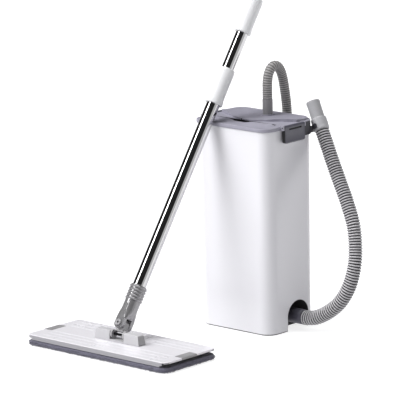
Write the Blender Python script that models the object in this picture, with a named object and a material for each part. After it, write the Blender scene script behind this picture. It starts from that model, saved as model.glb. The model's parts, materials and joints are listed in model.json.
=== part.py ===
"""Flat squeeze mop leaning on a tall bucket with a drain hose, in metres, +Z up.

The origin is the middle of the bucket's base on the floor. +X runs along the bucket's wide face
and +Y from the front face to the back. The mop stands in front of the bucket, its pole resting
on the lid's front edge.
"""

import math

import bmesh
import bpy
from mathutils import Matrix, Vector

GAP = 0.0003

# Bucket
TUB_H = 0.3850
TUB_W = 0.1850
TUB_D = 0.1320
TAPER_X = 0.0042
TAPER_Y = 0.0018
TUB_R = 0.0240
TUB_WALL = 0.0030
TUB_FLOOR = 0.0040
RECESS_Y = 0.0147
RECESS_HALF = 0.0292
RECESS_SPRING = 0.0268
RECESS_IN = 0.0565
DRAIN_Z = 0.0250

# Lid
LID_T = 0.0067
LID_OVER = 0.0026
LID_Z = TUB_H + GAP
LID_TOP = LID_Z + LID_T
DECK_TOP = 0.3955
SLOT_HALF = 0.0760
SLOT_FRONT = -0.0360
SLOT_BACK = -0.0200
FLAP_FRONT = -0.0600
FLAP_RISE = 0.0034
LATCH_X = 0.0995
LATCH_Z = 0.3898
LATCH_Y0 = -0.0280
LATCH_Y1 = 0.0272
LATCH_LOW = 0.3602
SOCKET_X = 0.0105
SOCKET_Y = 0.0293

# Hoses: centre lines chosen by hand
DRAIN_R = 0.01375
DRAIN_ROUTE = (
    (0.1048, 0.0147, 0.0250),
    (0.1160, 0.0147, 0.0252),
    (0.1345, 0.0160, 0.0290),
    (0.1600, 0.0190, 0.0425),
    (0.1845, 0.0225, 0.0635),
    (0.2020, 0.0268, 0.0915),
    (0.2110, 0.0315, 0.1240),
    (0.2115, 0.0375, 0.1590),
    (0.2015, 0.0455, 0.2050),
    (0.1790, 0.0535, 0.2480),
    (0.1575, 0.0597, 0.2815),
    (0.1380, 0.0652, 0.3120),
    (0.1205, 0.0705, 0.3405),
    (0.1030, 0.0757, 0.3690),
)
NOZZLE_END = (0.0727, 0.0855, 0.4182)
CLIP_START = 0.0330
CLAW_TURN = -50.0
FILL_R = 0.0093
FILL_ROUTE = (
    (0.0105, 0.0293, 0.4265),
    (0.0107, 0.0293, 0.4420),
    (0.0110, 0.0296, 0.4575),
    (0.0112, 0.0332, 0.4725),
    (0.0113, 0.0425, 0.4835),
    (0.0115, 0.0545, 0.4845),
    (0.0115, 0.0645, 0.4760),
    (0.0117, 0.0715, 0.4600),
    (0.0120, 0.0765, 0.4350),
    (0.0120, 0.0805, 0.4080),
    (0.0118, 0.0825, 0.3800),
    (0.0135, 0.0828, 0.3400),
    (0.0175, 0.0825, 0.2900),
    (0.0225, 0.0822, 0.2350),
    (0.0280, 0.0820, 0.1800),
    (0.0320, 0.0820, 0.1280),
    (0.0310, 0.0820, 0.0900),
    (0.0215, 0.0820, 0.0560),
    (0.0050, 0.0820, 0.0310),
    (-0.0160, 0.0820, 0.0170),
    (-0.0360, 0.0820, 0.0132),
    (-0.0500, 0.0820, 0.0128),
)

# Mop head
HEAD_X = -0.0605
HEAD_Y = -0.3080
PAD_L = 0.3600
PAD_W = 0.1480
PAD_T = 0.0118
PLATE_L = 0.3500
PLATE_W = 0.1380
PLATE_TOP = 0.0215
PLATE_T = 0.0063
END_LOW = 0.0178
TAB_HALF = 0.0195
TAB_Y = -0.3115
TAB_DEEP = 0.0185
SADDLE_X = -0.0582
SADDLE_Y = -0.3124
SADDLE_DEEP = 0.0092
SADDLE_Z = 0.0340
SADDLE_HALF = 0.0555
SADDLE_GAP = 0.0178
SADDLE_TOP = 0.0405
PIN_STEP = 0.0190

# Pole, measured up from the fork pin
LEAN_BACK = math.radians(32.525)
LEAN_SIDE = math.radians(2.19)
TUBE_R = 0.0127
TUBE_WALL = 0.0006
TUBE_STEP = 0.0009
TUBE_LOW = 0.0303
TUBE_END = 0.5000
COUPLER_1 = (0.4450, 0.5160)
COUPLER_2 = (0.5900, 0.6600)
MID_LOW = 0.1650
MID_END = 0.6420
TOP_LOW = 0.4800
TOP_END = 1.1300
GRIP = (1.0100, 1.1500)
LOOP_END = 1.1950

MATERIALS = {
    "white_plastic": ((0.86, 0.87, 0.88), 0.0, 0.24),
    "lid_plastic": ((0.36, 0.37, 0.44), 0.0, 0.38),
    "slate_plastic": ((0.085, 0.083, 0.115), 0.0, 0.40),
    "grey_hose": ((0.30, 0.30, 0.31), 0.0, 0.28),
    "pale_plastic": ((0.50, 0.50, 0.53), 0.0, 0.32),
    "grey_plastic": ((0.34, 0.33, 0.35), 0.0, 0.26),
    "dark_rubber": ((0.05, 0.05, 0.055), 0.0, 0.65),
    "microfibre": ((0.17, 0.16, 0.20), 0.0, 0.95),
    "chrome": ((0.80, 0.80, 0.81), 1.0, 0.08),
    "steel": ((0.60, 0.60, 0.61), 1.0, 0.25),
}


def clear_scene():
    """Empties the startup scene."""
    for obj in list(bpy.data.objects):
        bpy.data.objects.remove(obj)


def material(name):
    """The named material, made on first use."""
    found = bpy.data.materials.get(name)
    if found:
        return found
    colour, metallic, roughness = MATERIALS[name]
    made = bpy.data.materials.new(name)
    made.use_nodes = True
    shader = made.node_tree.nodes["Principled BSDF"]
    shader.inputs["Base Color"].default_value = (*colour, 1.0)
    shader.inputs["Metallic"].default_value = metallic
    shader.inputs["Roughness"].default_value = roughness
    return made


def solid(name, points, faces, finish, matrix=None):
    """One mesh object, its normals turned outward."""
    mesh = bpy.data.meshes.new(name)
    mesh.from_pydata([tuple(point) for point in points], [], faces)
    shape = bmesh.new()
    shape.from_mesh(mesh)
    bmesh.ops.recalc_face_normals(shape, faces=shape.faces)
    shape.to_mesh(mesh)
    shape.free()
    mesh.materials.append(material(finish))
    made = bpy.data.objects.new(name, mesh)
    bpy.context.scene.collection.objects.link(made)
    if matrix:
        made.matrix_world = matrix
    return made


def loft(name, loops, finish, matrix=None):
    """Loops of equal length joined in order, with a cap on the first and the last."""
    count = len(loops[0])
    points = [point for loop in loops for point in loop]
    faces = [tuple(range(count)), tuple(range(len(points) - count, len(points)))]
    for row in range(len(loops) - 1):
        for k in range(count):
            a = row * count + k
            b = row * count + (k + 1) % count
            faces.append((a, b, b + count, a + count))
    return solid(name, points, faces, finish, matrix)


def rounded(half_x, half_y, radius, z, steps=5, centre=(0.0, 0.0)):
    """A rounded rectangle at height z."""
    loop = []
    corners = ((1, 1, 0), (-1, 1, 90), (-1, -1, 180), (1, -1, 270))
    for sign_x, sign_y, start in corners:
        for k in range(steps + 1):
            turn = math.radians(start + 90 * k / steps)
            x = centre[0] + sign_x * (half_x - radius) + radius * math.cos(turn)
            y = centre[1] + sign_y * (half_y - radius) + radius * math.sin(turn)
            loop.append((x, y, z))
    return loop


def circle(radius, z, count=28):
    """A circle about Z."""
    turns = [2 * math.pi * k / count for k in range(count)]
    return [(radius * math.cos(turn), radius * math.sin(turn), z) for turn in turns]


def stack(name, profile, finish, matrix=None, count=28):
    """A solid turned about Z from (radius, z) pairs, bottom to top."""
    return loft(name, [circle(radius, z, count) for radius, z in profile], finish, matrix)


def ring(name, profile, finish, matrix=None, count=28):
    """A ring turned about Z from a closed (radius, z) profile."""
    points = [point for radius, z in profile for point in circle(radius, z, count)]
    rows = len(profile)
    faces = []
    for row in range(rows):
        for k in range(count):
            a = row * count + k
            b = row * count + (k + 1) % count
            c = (row + 1) % rows * count + (k + 1) % count
            d = (row + 1) % rows * count + k
            faces.append((a, b, c, d))
    return solid(name, points, faces, finish, matrix)


def pipe(name, outer, inner, low, high, finish, matrix=None, count=28):
    """A plain tube about Z."""
    profile = [(outer, low), (outer, high), (inner, high), (inner, low)]
    return ring(name, profile, finish, matrix, count)


def block(name, low, high, finish, matrix=None):
    """A box between two corners."""
    points = [(x, y, z) for x in (low[0], high[0]) for y in (low[1], high[1]) for z in (low[2], high[2])]
    faces = [(0, 1, 3, 2), (4, 6, 7, 5), (0, 4, 5, 1), (2, 3, 7, 6), (0, 2, 6, 4), (1, 5, 7, 3)]
    return solid(name, points, faces, finish, matrix)


def prism(name, outline, low, high, finish, axis="Z", matrix=None):
    """An outline pushed along one axis. Its pairs are (y, z) for X, (x, z) for Y and (x, y) for Z."""

    def place(pair, along):
        if axis == "X":
            return (along, pair[0], pair[1])
        if axis == "Y":
            return (pair[0], along, pair[1])
        return (pair[0], pair[1], along)

    loops = [[place(pair, along) for pair in outline] for along in (low, high)]
    return loft(name, loops, finish, matrix)


def boolean(target, tool, operation):
    """Joins or cuts with a hidden helper."""
    tool.hide_render = True
    tool.display_type = "WIRE"
    step = target.modifiers.new(f"{operation.lower()}_{tool.name}", "BOOLEAN")
    step.operation = operation
    step.solver = "EXACT"
    step.object = tool
    return target


def join(target, tool):
    """Adds a helper's solid to the target."""
    return boolean(target, tool, "UNION")


def cut(target, tool):
    """Takes a helper's solid out of the target."""
    return boolean(target, tool, "DIFFERENCE")


def soften(target, width, segments=2):
    """Rounds the sharp edges."""
    step = target.modifiers.new("soften", "BEVEL")
    step.width = width
    step.segments = segments
    step.limit_method = "ANGLE"
    step.angle_limit = math.radians(40)


def set_origin(target, point):
    """Moves the origin to a world point and leaves the shape where it is."""
    bpy.context.view_layer.update()
    old = target.matrix_world.copy()
    new = Matrix.Translation(Vector(point)) @ old.to_quaternion().to_matrix().to_4x4()
    target.data.transform(new.inverted() @ old)
    target.matrix_world = new


def facing(direction, origin, side=(0.0, 0.0, 1.0)):
    """A frame whose Z runs along the direction."""
    z = Vector(direction).normalized()
    x = Vector(side).cross(z)
    if x.length < 1e-6:
        x = Vector((1.0, 0.0, 0.0))
    x.normalize()
    y = z.cross(x)
    frame = Matrix((x, y, z)).transposed().to_4x4()
    return Matrix.Translation(Vector(origin)) @ frame


def smooth_route(route, spacing):
    """Even points along a Catmull-Rom curve through the route."""
    knots = [Vector(point) for point in route]
    knots = [2 * knots[0] - knots[1]] + knots + [2 * knots[-1] - knots[-2]]
    fine = []
    for a, b, c, d in zip(knots, knots[1:], knots[2:], knots[3:]):
        for k in range(24):
            t = k / 24
            fine.append(
                0.5 * (2 * b + (c - a) * t + (2 * a - 5 * b + 4 * c - d) * t**2 + (3 * b - a - 3 * c + d) * t**3)
            )
    fine.append(knots[-2])
    lengths = [0.0]
    for start, end in zip(fine, fine[1:]):
        lengths.append(lengths[-1] + (end - start).length)
    count = round(lengths[-1] / spacing)
    even = []
    row = 0
    for k in range(count + 1):
        want = lengths[-1] * k / count
        while row < len(fine) - 2 and lengths[row + 1] < want:
            row += 1
        part = (want - lengths[row]) / max(lengths[row + 1] - lengths[row], 1e-9)
        even.append(fine[row].lerp(fine[row + 1], part))
    return even


def cord(name, route, radius, spacing, finish):
    """A round tube along a route, with filled ends."""
    curve = bpy.data.curves.new(name, "CURVE")
    curve.dimensions = "3D"
    curve.bevel_depth = radius
    curve.bevel_resolution = 3
    curve.use_fill_caps = True
    points = smooth_route(route, spacing)
    spline = curve.splines.new("POLY")
    spline.points.add(len(points) - 1)
    for slot, point in zip(spline.points, points):
        slot.co = (*point, 1.0)
    curve.materials.append(material(finish))
    made = bpy.data.objects.new(name, curve)
    bpy.context.scene.collection.objects.link(made)
    return made


def tub_half(z):
    """The tub's outer half sizes at a height."""
    part = z / TUB_H
    return TUB_W / 2 - TAPER_X * (1 - part), TUB_D / 2 - TAPER_Y * (1 - part)


def arch(half, spring, bottom):
    """An arch outline in (y, z): straight sides up to the spring line, a half circle above."""
    outline = [(RECESS_Y - half, bottom), (RECESS_Y + half, bottom)]
    for k in range(17):
        turn = math.pi * k / 16
        outline.append((RECESS_Y + half * math.cos(turn), spring + half * math.sin(turn)))
    return outline


def build_tub():
    """The tub with its drain recess, and the divider inside."""
    loops = []
    for z, shrink in ((0.0, 0.0015), (0.0020, 0.0), (0.1900, 0.0), (TUB_H, 0.0)):
        half_x, half_y = tub_half(z)
        loops.append(rounded(half_x - shrink, half_y - shrink, TUB_R - shrink, z, 6))
    for z in (TUB_H, 0.1900, TUB_FLOOR):
        half_x, half_y = tub_half(z)
        loops.append(rounded(half_x - TUB_WALL, half_y - TUB_WALL, TUB_R - TUB_WALL, z, 6))
    tub = loft("bucket_shell", loops, "white_plastic")
    wall = 0.0025
    liner = prism("liner_helper", arch(RECESS_HALF + wall, RECESS_SPRING, 0.0008), RECESS_IN - wall, 0.0872,
                  "white_plastic", "X")
    pocket = prism("pocket_helper", arch(RECESS_HALF, RECESS_SPRING, -0.0100), RECESS_IN, 0.1100,
                   "white_plastic", "X")
    along_x = Matrix.Translation((0, RECESS_Y, DRAIN_Z)) @ Matrix.Rotation(math.pi / 2, 4, "Y")
    hole = stack("drain_hole_helper", [(0.0103, 0.0400), (0.0103, 0.0700)], "white_plastic", along_x)
    join(tub, liner)
    cut(tub, pocket)
    cut(tub, hole)

    def inside(z):
        return tub_half(z)[0] - TUB_WALL - 0.0005

    outline = [
        (-inside(TUB_FLOOR), TUB_FLOOR + 0.0004),
        (0.0425, TUB_FLOOR + 0.0004),
        (0.0425, 0.0600),
        (inside(0.0600), 0.0600),
        (inside(0.3000), 0.3000),
        (-inside(0.3000), 0.3000),
    ]
    prism("tub_divider", outline, 0.0120, 0.0145, "white_plastic", "Y")
    return along_x


def corner_band(corner, inner, outer, last):
    """A band round the tub's back right corner between two distances from its wall, with a straight start."""
    outline = []
    for off, order in ((inner, 1), (outer, -1)):
        side = [(corner.x + TUB_R + off, CLIP_START)]
        for k in range(9):
            turn = math.radians(last * k / 8)
            side.append((corner.x + (TUB_R + off) * math.cos(turn), corner.y + (TUB_R + off) * math.sin(turn)))
        outline += side[::order]
    return outline


def build_drain(along_x):
    """The drain outlet, its nut and washer, the hose with its cuff, collar, nozzle and clip."""
    ring("drain_spigot", [(0.0100, 0.0440), (0.0100, 0.0568), (0.0140, 0.0568), (0.0140, 0.0600),
                          (0.0100, 0.0600), (0.0100, 0.0800), (0.0080, 0.0800), (0.0080, 0.0440)],
         "slate_plastic", along_x, 24)
    pipe("drain_nut", 0.0140, 0.0103, 0.0445, 0.0510, "slate_plastic", along_x, 6 * 4)
    pipe("drain_washer", 0.0135, 0.0103, 0.0513, 0.0537, "dark_rubber", along_x, 24)
    ring("drain_cuff", [(0.0125, 0.0650), (0.0142, 0.0680), (0.0142, 0.1010), (0.0132, 0.1040),
                        (0.0090, 0.1040), (0.0090, 0.0806), (0.0103, 0.0806), (0.0103, 0.0650)],
         "slate_plastic", along_x, 24)
    cord("drain_hose", DRAIN_ROUTE, DRAIN_R, 0.0150, "grey_hose")
    start = Vector(DRAIN_ROUTE[-1])
    rise = Vector(NOZZLE_END) - start
    up = facing(rise, start)
    long = rise.length
    ring("drain_collar", [(0.0142, 0.0003), (0.0150, 0.0015), (0.0150, 0.0225), (0.0140, 0.0243),
                          (0.0105, 0.0243), (0.0105, 0.0003)], "pale_plastic", up, 24)
    ring("drain_nozzle", [(0.0128, 0.0246), (0.0128, long - 0.0015), (0.0120, long), (0.0105, long),
                          (0.0105, 0.0246)], "grey_hose", up, 24)

    # The clip: a plate round the tub's corner, with a rim outside the lid's edge, an arm, and an open ring.
    corner = Vector((TUB_W / 2 - TUB_R, TUB_D / 2 - TUB_R, 0.0))
    clip = prism("hose_clip", corner_band(corner, 0.0004, 0.0035, 72), 0.3655, 0.3770, "slate_plastic")
    join(clip, prism("clip_block_helper", corner_band(corner, 0.0008, 0.0052, 15), 0.3715, 0.3845, "slate_plastic"))
    join(clip, prism("clip_rim_helper", corner_band(corner, 0.0032, 0.0056, 16), 0.3720, 0.3905, "slate_plastic"))
    open_ring = []
    for radius, order in ((0.0180, 1), (0.0154, -1)):
        turns = [math.radians(CLAW_TURN + k * 10.0) for k in range(-10, 11)][::order]
        open_ring += [(radius * math.cos(turn), radius * math.sin(turn)) for turn in turns]
    centre = up @ Vector((0, 0, 0.0085))
    away = Vector((corner.x - centre.x, corner.y - centre.y, 0.0)).normalized()
    frame = facing(rise, centre, rise.normalized().cross(away))
    inner = frame.to_3x3().inverted() @ away
    spin = Matrix.Rotation(math.atan2(inner.y, inner.x), 4, "Z")
    claw = prism("claw_helper", open_ring, -0.0040, 0.0040, "slate_plastic", "Z", frame @ spin)
    reach = (Vector((centre.x, centre.y, 0)) - corner).length
    arm_frame = facing((0, 0, 1), corner, (0, 0, 1))
    arm_frame = Matrix.Translation(corner) @ Matrix.Rotation(math.atan2(-away.y, -away.x), 4, "Z")
    arm = block("arm_helper", (TUB_R + 0.0030, -0.0060, 0.3665), (reach - 0.0158, 0.0060, 0.3765),
                "slate_plastic", arm_frame)
    join(clip, arm)
    join(clip, claw)


def deck_front(x):
    """The raised deck's front edge, seen from above."""
    knots = ((-0.0895, 0.0120), (-0.0550, -0.0030), (-0.0350, -0.0150), (-0.0120, -0.0196), (0.0150, -0.0196),
             (0.0390, -0.0085), (0.0630, 0.0080), (0.0895, 0.0200))
    for (x0, y0), (x1, y1) in zip(knots, knots[1:]):
        if x <= x1:
            part = (x - x0) / (x1 - x0)
            part = part * part * (3 - 2 * part) * 0.5 + part * 0.5
            return y0 + (y1 - y0) * part
    return knots[-1][1]


def deck_height(x, part):
    """The deck's top: level at the back, its front lip dipping in the middle."""
    lip = 0.0030 * min(1.0, (abs(x + 0.005) / 0.070) ** 2) - 0.0012
    return DECK_TOP + lip * (1 - part) ** 2


def build_deck():
    """The lid's raised rear deck, a helper solid."""
    half_x, half_y, radius = 0.0895, 0.0630, 0.0210
    columns = [-half_x + 2 * half_x * k / 26 for k in range(27)]
    rows = 5
    points = []
    for x in columns:
        over = max(abs(x) - (half_x - radius), 0.0)
        back = half_y - radius + math.sqrt(max(radius**2 - over**2, 0.0))
        front = deck_front(x)
        back = max(back, front + 0.004)
        for k in range(rows):
            part = k / (rows - 1)
            y = front + (back - front) * part
            points.append((x, y, deck_height(x, part)))
            points.append((x, y, LID_TOP - 0.0015))
    step = rows * 2
    faces = []
    for c in range(len(columns) - 1):
        for k in range(rows - 1):
            a = c * step + 2 * k
            faces.append((a, a + step, a + step + 2, a + 2))
            faces.append((a + 1, a + 3, a + step + 3, a + step + 1))
        a = c * step
        faces.append((a, a + 1, a + step + 1, a + step))
        a = c * step + 2 * (rows - 1)
        faces.append((a, a + step, a + step + 1, a + 1))
    for c, order in ((0, 1), (len(columns) - 1, -1)):
        for k in range(rows - 1):
            a = c * step + 2 * k
            faces.append((a, a + 2, a + 3, a + 1)[::order])
    return solid("deck_helper", points, faces, "lid_plastic")


def build_flap():
    """The smooth flap in front of the slot: it rises towards the slot, and dips where the mop goes in."""
    columns = [-0.0840 + 0.1680 * k / 28 for k in range(29)]
    rows = 5
    points = []
    for x in columns:
        out = min(max((abs(x - 0.0010) - 0.0100) / 0.0200, 0.0), 1.0)
        fall = min(max((0.0840 - abs(x)) / 0.0120, 0.0), 1.0)
        rise = -0.0003 + FLAP_RISE * (0.08 + 0.92 * out * out * (3 - 2 * out)) * fall
        back = SLOT_FRONT + 0.0050 * (x / SLOT_HALF) ** 2 - 0.0001
        for k in range(rows):
            part = k / (rows - 1)
            y = FLAP_FRONT + (back - FLAP_FRONT) * part
            lift = part * part * (3 - 2 * part)
            points.append((x, y, LID_TOP - 0.0003 + (rise + 0.0003) * lift))
            points.append((x, y, LID_TOP - 0.0020))
    step = rows * 2
    faces = []
    for c in range(len(columns) - 1):
        for k in range(rows - 1):
            a = c * step + 2 * k
            faces.append((a, a + step, a + step + 2, a + 2))
            faces.append((a + 1, a + 3, a + step + 3, a + step + 1))
        a = c * step
        faces.append((a, a + 1, a + step + 1, a + step))
        a = c * step + 2 * (rows - 1)
        faces.append((a, a + step, a + step + 1, a + 1))
    for c, order in ((0, 1), (len(columns) - 1, -1)):
        for k in range(rows - 1):
            a = c * step + 2 * k
            faces.append((a, a + 2, a + 3, a + 1)[::order])
    return solid("flap_helper", points, faces, "lid_plastic")


def slot_outline():
    """The mop slot seen from above, narrower towards its ends."""
    outline = []
    for k in range(17):
        x = -SLOT_HALF + 2 * SLOT_HALF * k / 16
        outline.append((x, SLOT_FRONT + 0.0050 * (x / SLOT_HALF) ** 2))
    for x, y in ((SLOT_HALF, SLOT_BACK), (-SLOT_HALF, SLOT_BACK)):
        outline.append((x, y))
    return outline


def build_lid():
    """The lid with its deck, slot, socket hole and latch ears; the frame and wiper below it."""
    half_x = TUB_W / 2 + LID_OVER
    half_y = TUB_D / 2 + LID_OVER
    radius = TUB_R + LID_OVER
    loops = [rounded(half_x - inset, half_y - inset, radius - inset, z, 8)
             for z, inset in ((LID_Z, 0.0), (LID_TOP - 0.0014, 0.0), (LID_TOP - 0.0004, 0.0004), (LID_TOP, 0.0014))]
    lid = loft("lid", loops, "lid_plastic")
    inner_x = TUB_W / 2 - TUB_WALL - 0.0007
    inner_y = TUB_D / 2 - TUB_WALL - 0.0007
    inner_r = TUB_R - TUB_WALL - 0.0007
    rim = [rounded(inner_x - inset, inner_y - inset, inner_r - inset, z, 8)
           for z, inset in ((LID_Z + 0.001, 0.0), (0.3790, 0.0004), (0.3790, 0.0020), (LID_Z + 0.001, 0.0020))]
    count = len(rim[0])
    points = [point for loop in rim for point in loop]
    faces = []
    for row in range(4):
        for k in range(count):
            n = (k + 1) % count
            faces.append((row * count + k, row * count + n, (row + 1) % 4 * count + n, (row + 1) % 4 * count + k))
    join(lid, solid("rim_helper", points, faces, "lid_plastic"))
    join(lid, build_deck())
    join(lid, build_flap())
    for side in (-1, 1):
        for low, high in ((LATCH_Y0 - 0.0036, LATCH_Y0 - 0.0006), (LATCH_Y1 + 0.0006, LATCH_Y1 + 0.0036)):
            xs = sorted((side * 0.0930, side * (LATCH_X + 0.0030)))
            ear = block(f"ear_helper_{side}_{high > 0}", (xs[0], low, LID_Z + 0.0001), (xs[1], high, LID_TOP + 0.0016),
                        "lid_plastic")
            join(lid, ear)
        pin_line = Matrix.Translation((side * LATCH_X, 0, LATCH_Z)) @ Matrix.Rotation(-math.pi / 2, 4, "X")
        cut(lid, stack(f"pin_hole_helper_{side}", [(0.0018, -0.0420), (0.0018, 0.0500)], "lid_plastic", pin_line, 12))
    cut(lid, prism("slot_helper", slot_outline(), 0.3700, 0.4100, "lid_plastic"))
    here = Matrix.Translation((SOCKET_X, SOCKET_Y, 0))
    cut(lid, stack("socket_hole_helper", [(0.0123, 0.3700), (0.0123, 0.4100)], "lid_plastic", here, 24))

    ring("fill_socket", [(0.0120, 0.3760), (0.0120, 0.3968), (0.0112, 0.3976), (0.0099, 0.3976), (0.0099, 0.3760)],
         "lid_plastic", here, 24)
    ring("fill_cuff", [(0.0096, 0.3840), (0.0096, 0.4255), (0.0090, 0.4262), (0.0070, 0.4262), (0.0070, 0.3840)],
         "grey_plastic", here, 24)
    cord("fill_hose", FILL_ROUTE, FILL_R, 0.0120, "grey_hose")
    end = Vector(FILL_ROUTE[-1]) + Vector((-0.0004, 0, 0))
    along = facing((-1, 0, 0), end)
    ring("tap_fitting", [(0.0098, 0.0), (0.0098, 0.0180), (0.0118, 0.0200), (0.0118, 0.0420), (0.0090, 0.0420),
                         (0.0090, 0.0240), (0.0070, 0.0240), (0.0070, 0.0)], "slate_plastic", along, 24)

    low, high = 0.3350, LID_Z - GAP
    frame = block("squeeze_frame", (-0.0797, -0.0397, low), (0.0797, -0.0163, high), "white_plastic")
    cut(frame, block("frame_hole_helper", (-0.0775, -0.0375, low - 0.01), (0.0775, -0.0185, high + 0.01),
                     "white_plastic"))
    block("wiper_blade", (-0.0771, -0.0372, 0.3450), (0.0771, -0.0330, 0.3490), "dark_rubber")


def build_latch(side, name):
    """One latch: a barrel on its pin, and a plate hanging down the tub's side."""
    radius = 0.0037
    outline = [(LATCH_X - radius, LATCH_LOW)]
    outline += [(LATCH_X + 0.0028, LATCH_LOW), (LATCH_X + 0.0040, LATCH_LOW + 0.0020)]
    for k in range(9):
        turn = math.pi * k / 8
        outline.append((LATCH_X + radius * math.cos(turn), LATCH_Z + radius * math.sin(turn)))
    outline = [(side * x, z) for x, z in outline]
    latch = prism(name, outline, LATCH_Y0, LATCH_Y1, "slate_plastic", "Y")
    outer = sorted((side * (LATCH_X + 0.0016), side * (LATCH_X + 0.0100)))
    grip = block(f"grip_helper_{side}", (outer[0], -0.0165, 0.3846), (outer[1], 0.0180, 0.3877), "slate_plastic")
    cut(latch, grip)
    for k, (y, way) in enumerate(((LATCH_Y0, 1), (LATCH_Y1, -1))):
        size = 0.0050
        corner = [(y - way * 0.001, LATCH_LOW - 0.001), (y + way * size, LATCH_LOW - 0.001)]
        for n in range(7):
            turn = math.pi / 2 * n / 6
            corner.append((y + way * size * (1 - math.sin(turn)), LATCH_LOW + size * (1 - math.cos(turn))))
        corner.append((y - way * 0.001, LATCH_LOW + size))
        low, high = sorted((side * (LATCH_X - 0.010), side * (LATCH_X + 0.010)))
        cut(latch, prism(f"corner_helper_{side}_{k}", corner, low, high, "slate_plastic", "X"))
    pin_line = Matrix.Translation((side * LATCH_X, 0, LATCH_Z)) @ Matrix.Rotation(-math.pi / 2, 4, "X")
    cut(latch, stack(f"bore_helper_{side}", [(0.0018, -0.0400), (0.0018, 0.0600)], "slate_plastic", pin_line, 12))
    set_origin(latch, (side * LATCH_X, 0, LATCH_Z))
    pin_name = name.replace("latch", "latch_pin")
    pin = stack(pin_name, [(0.0015, LATCH_Y0 - 0.0034), (0.0015, LATCH_Y1 + 0.0034)], "steel", pin_line, 12)
    set_origin(pin, (side * LATCH_X, 0, LATCH_Z))


def build_head():
    """The mop plate with its pad, strips, tabs, saddle and saddle pin."""
    here = (HEAD_X, HEAD_Y)
    loops = [rounded(PAD_L / 2 - inset, PAD_W / 2 - inset, 0.0200 - inset, z, 5, here)
             for z, inset in ((0.0, 0.0030), (0.0020, 0.0006), (0.0060, 0.0), (0.0100, 0.0006), (PAD_T, 0.0030))]
    loft("mop_pad", loops, "microfibre")

    base = PLATE_TOP - PLATE_T
    loops = [rounded(PLATE_L / 2 - inset, PLATE_W / 2 - inset, 0.0120 - inset, z, 5, here)
             for z, inset in ((base, 0.0), (PLATE_TOP - 0.0018, 0.0), (PLATE_TOP - 0.0005, 0.0006), (PLATE_TOP, 0.0022))]
    plate = loft("head_plate", loops, "white_plastic")
    for side, word in ((-1, "front"), (1, "back")):
        ys = sorted((HEAD_Y + side * PLATE_W / 2, HEAD_Y + side * (PLATE_W / 2 - 0.0045)))
        wall = block(f"wall_helper_{word}", (HEAD_X - 0.1610, ys[0], PAD_T + 0.0004),
                     (HEAD_X + 0.1610, ys[1], base + 0.0010), "white_plastic")
        join(plate, wall)
    for side, word in ((-1, "left"), (1, "right")):
        end = HEAD_X + side * PLATE_L / 2
        xs = sorted((end - side * (TAB_DEEP + 0.0004), end + side * 0.0100))
        notch = block(f"notch_helper_{word}", (xs[0], TAB_Y - TAB_HALF - 0.0004, base - 0.01),
                      (xs[1], TAB_Y + TAB_HALF + 0.0004, PLATE_TOP + 0.01), "white_plastic")
        cut(plate, notch)
        xs = sorted((end - side * 0.0060, end + side * 0.0100))
        under = block(f"under_helper_{word}", (xs[0], HEAD_Y - PLATE_W, base - 0.01),
                      (xs[1], HEAD_Y + PLATE_W, END_LOW), "white_plastic")
        cut(plate, under)
        outline = [
            (end - side * TAB_DEEP, base + 0.0004),
            (end - side * 0.0064, base + 0.0004),
            (end - side * 0.0050, END_LOW),
            (end + side * 0.0010, END_LOW),
            (end + side * 0.0010, PLATE_TOP - 0.0020),
            (end - side * 0.0012, PLATE_TOP + 0.0003),
            (end - side * TAB_DEEP, PLATE_TOP + 0.0005),
        ]
        prism(f"tab_{word}", outline, TAB_Y - TAB_HALF, TAB_Y + TAB_HALF, "grey_plastic", "Y")
        xs = sorted((HEAD_X + side * 0.0300, HEAD_X + side * 0.1450))
        block(f"hook_strip_{word}", (xs[0], HEAD_Y - 0.0280, PAD_T + 0.0003),
              (xs[1], HEAD_Y + 0.0280, base - GAP), "dark_rubber")

    low = PLATE_TOP + GAP
    block_low = low + 0.0030
    saddle = block("saddle", (SADDLE_X - SADDLE_HALF, SADDLE_Y - SADDLE_DEEP, low),
                   (SADDLE_X + SADDLE_HALF, SADDLE_Y + SADDLE_DEEP, block_low), "white_plastic")
    for side, word in ((-1, "left"), (1, "right")):
        near = SADDLE_X + side * SADDLE_GAP
        far = SADDLE_X + side * SADDLE_HALF
        loops = []
        for z, half, back in ((low + 0.0002, 0.0092, 0.0), (block_low, 0.0091, 0.0002), (0.0370, 0.0080, 0.0022),
                              (SADDLE_TOP - 0.0010, 0.0074, 0.0034), (SADDLE_TOP, 0.0060, 0.0050)):
            xs = (near, far - side * back)
            loops.append([(xs[0], SADDLE_Y - half, z), (xs[1], SADDLE_Y - half, z), (xs[1], SADDLE_Y + half, z),
                          (xs[0], SADDLE_Y + half, z)])
        join(saddle, loft(f"saddle_helper_{word}", loops, "white_plastic"))
    along = Matrix.Translation((SADDLE_X, SADDLE_Y, SADDLE_Z)) @ Matrix.Rotation(math.pi / 2, 4, "Y")
    cut(saddle, stack("saddle_bore_helper", [(0.0028, -0.0480), (0.0028, 0.0480)], "white_plastic", along, 16))
    pin = stack("saddle_pin", [(0.0025, -0.0476), (0.0025, 0.0476)], "steel", along, 16)
    set_origin(pin, (SADDLE_X, SADDLE_Y, SADDLE_Z))


def along_y(matrix, z=0.0):
    """A frame whose Z runs along the given frame's Y."""
    return matrix @ Matrix.Translation((0, 0, z)) @ Matrix.Rotation(-math.pi / 2, 4, "X")


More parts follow.
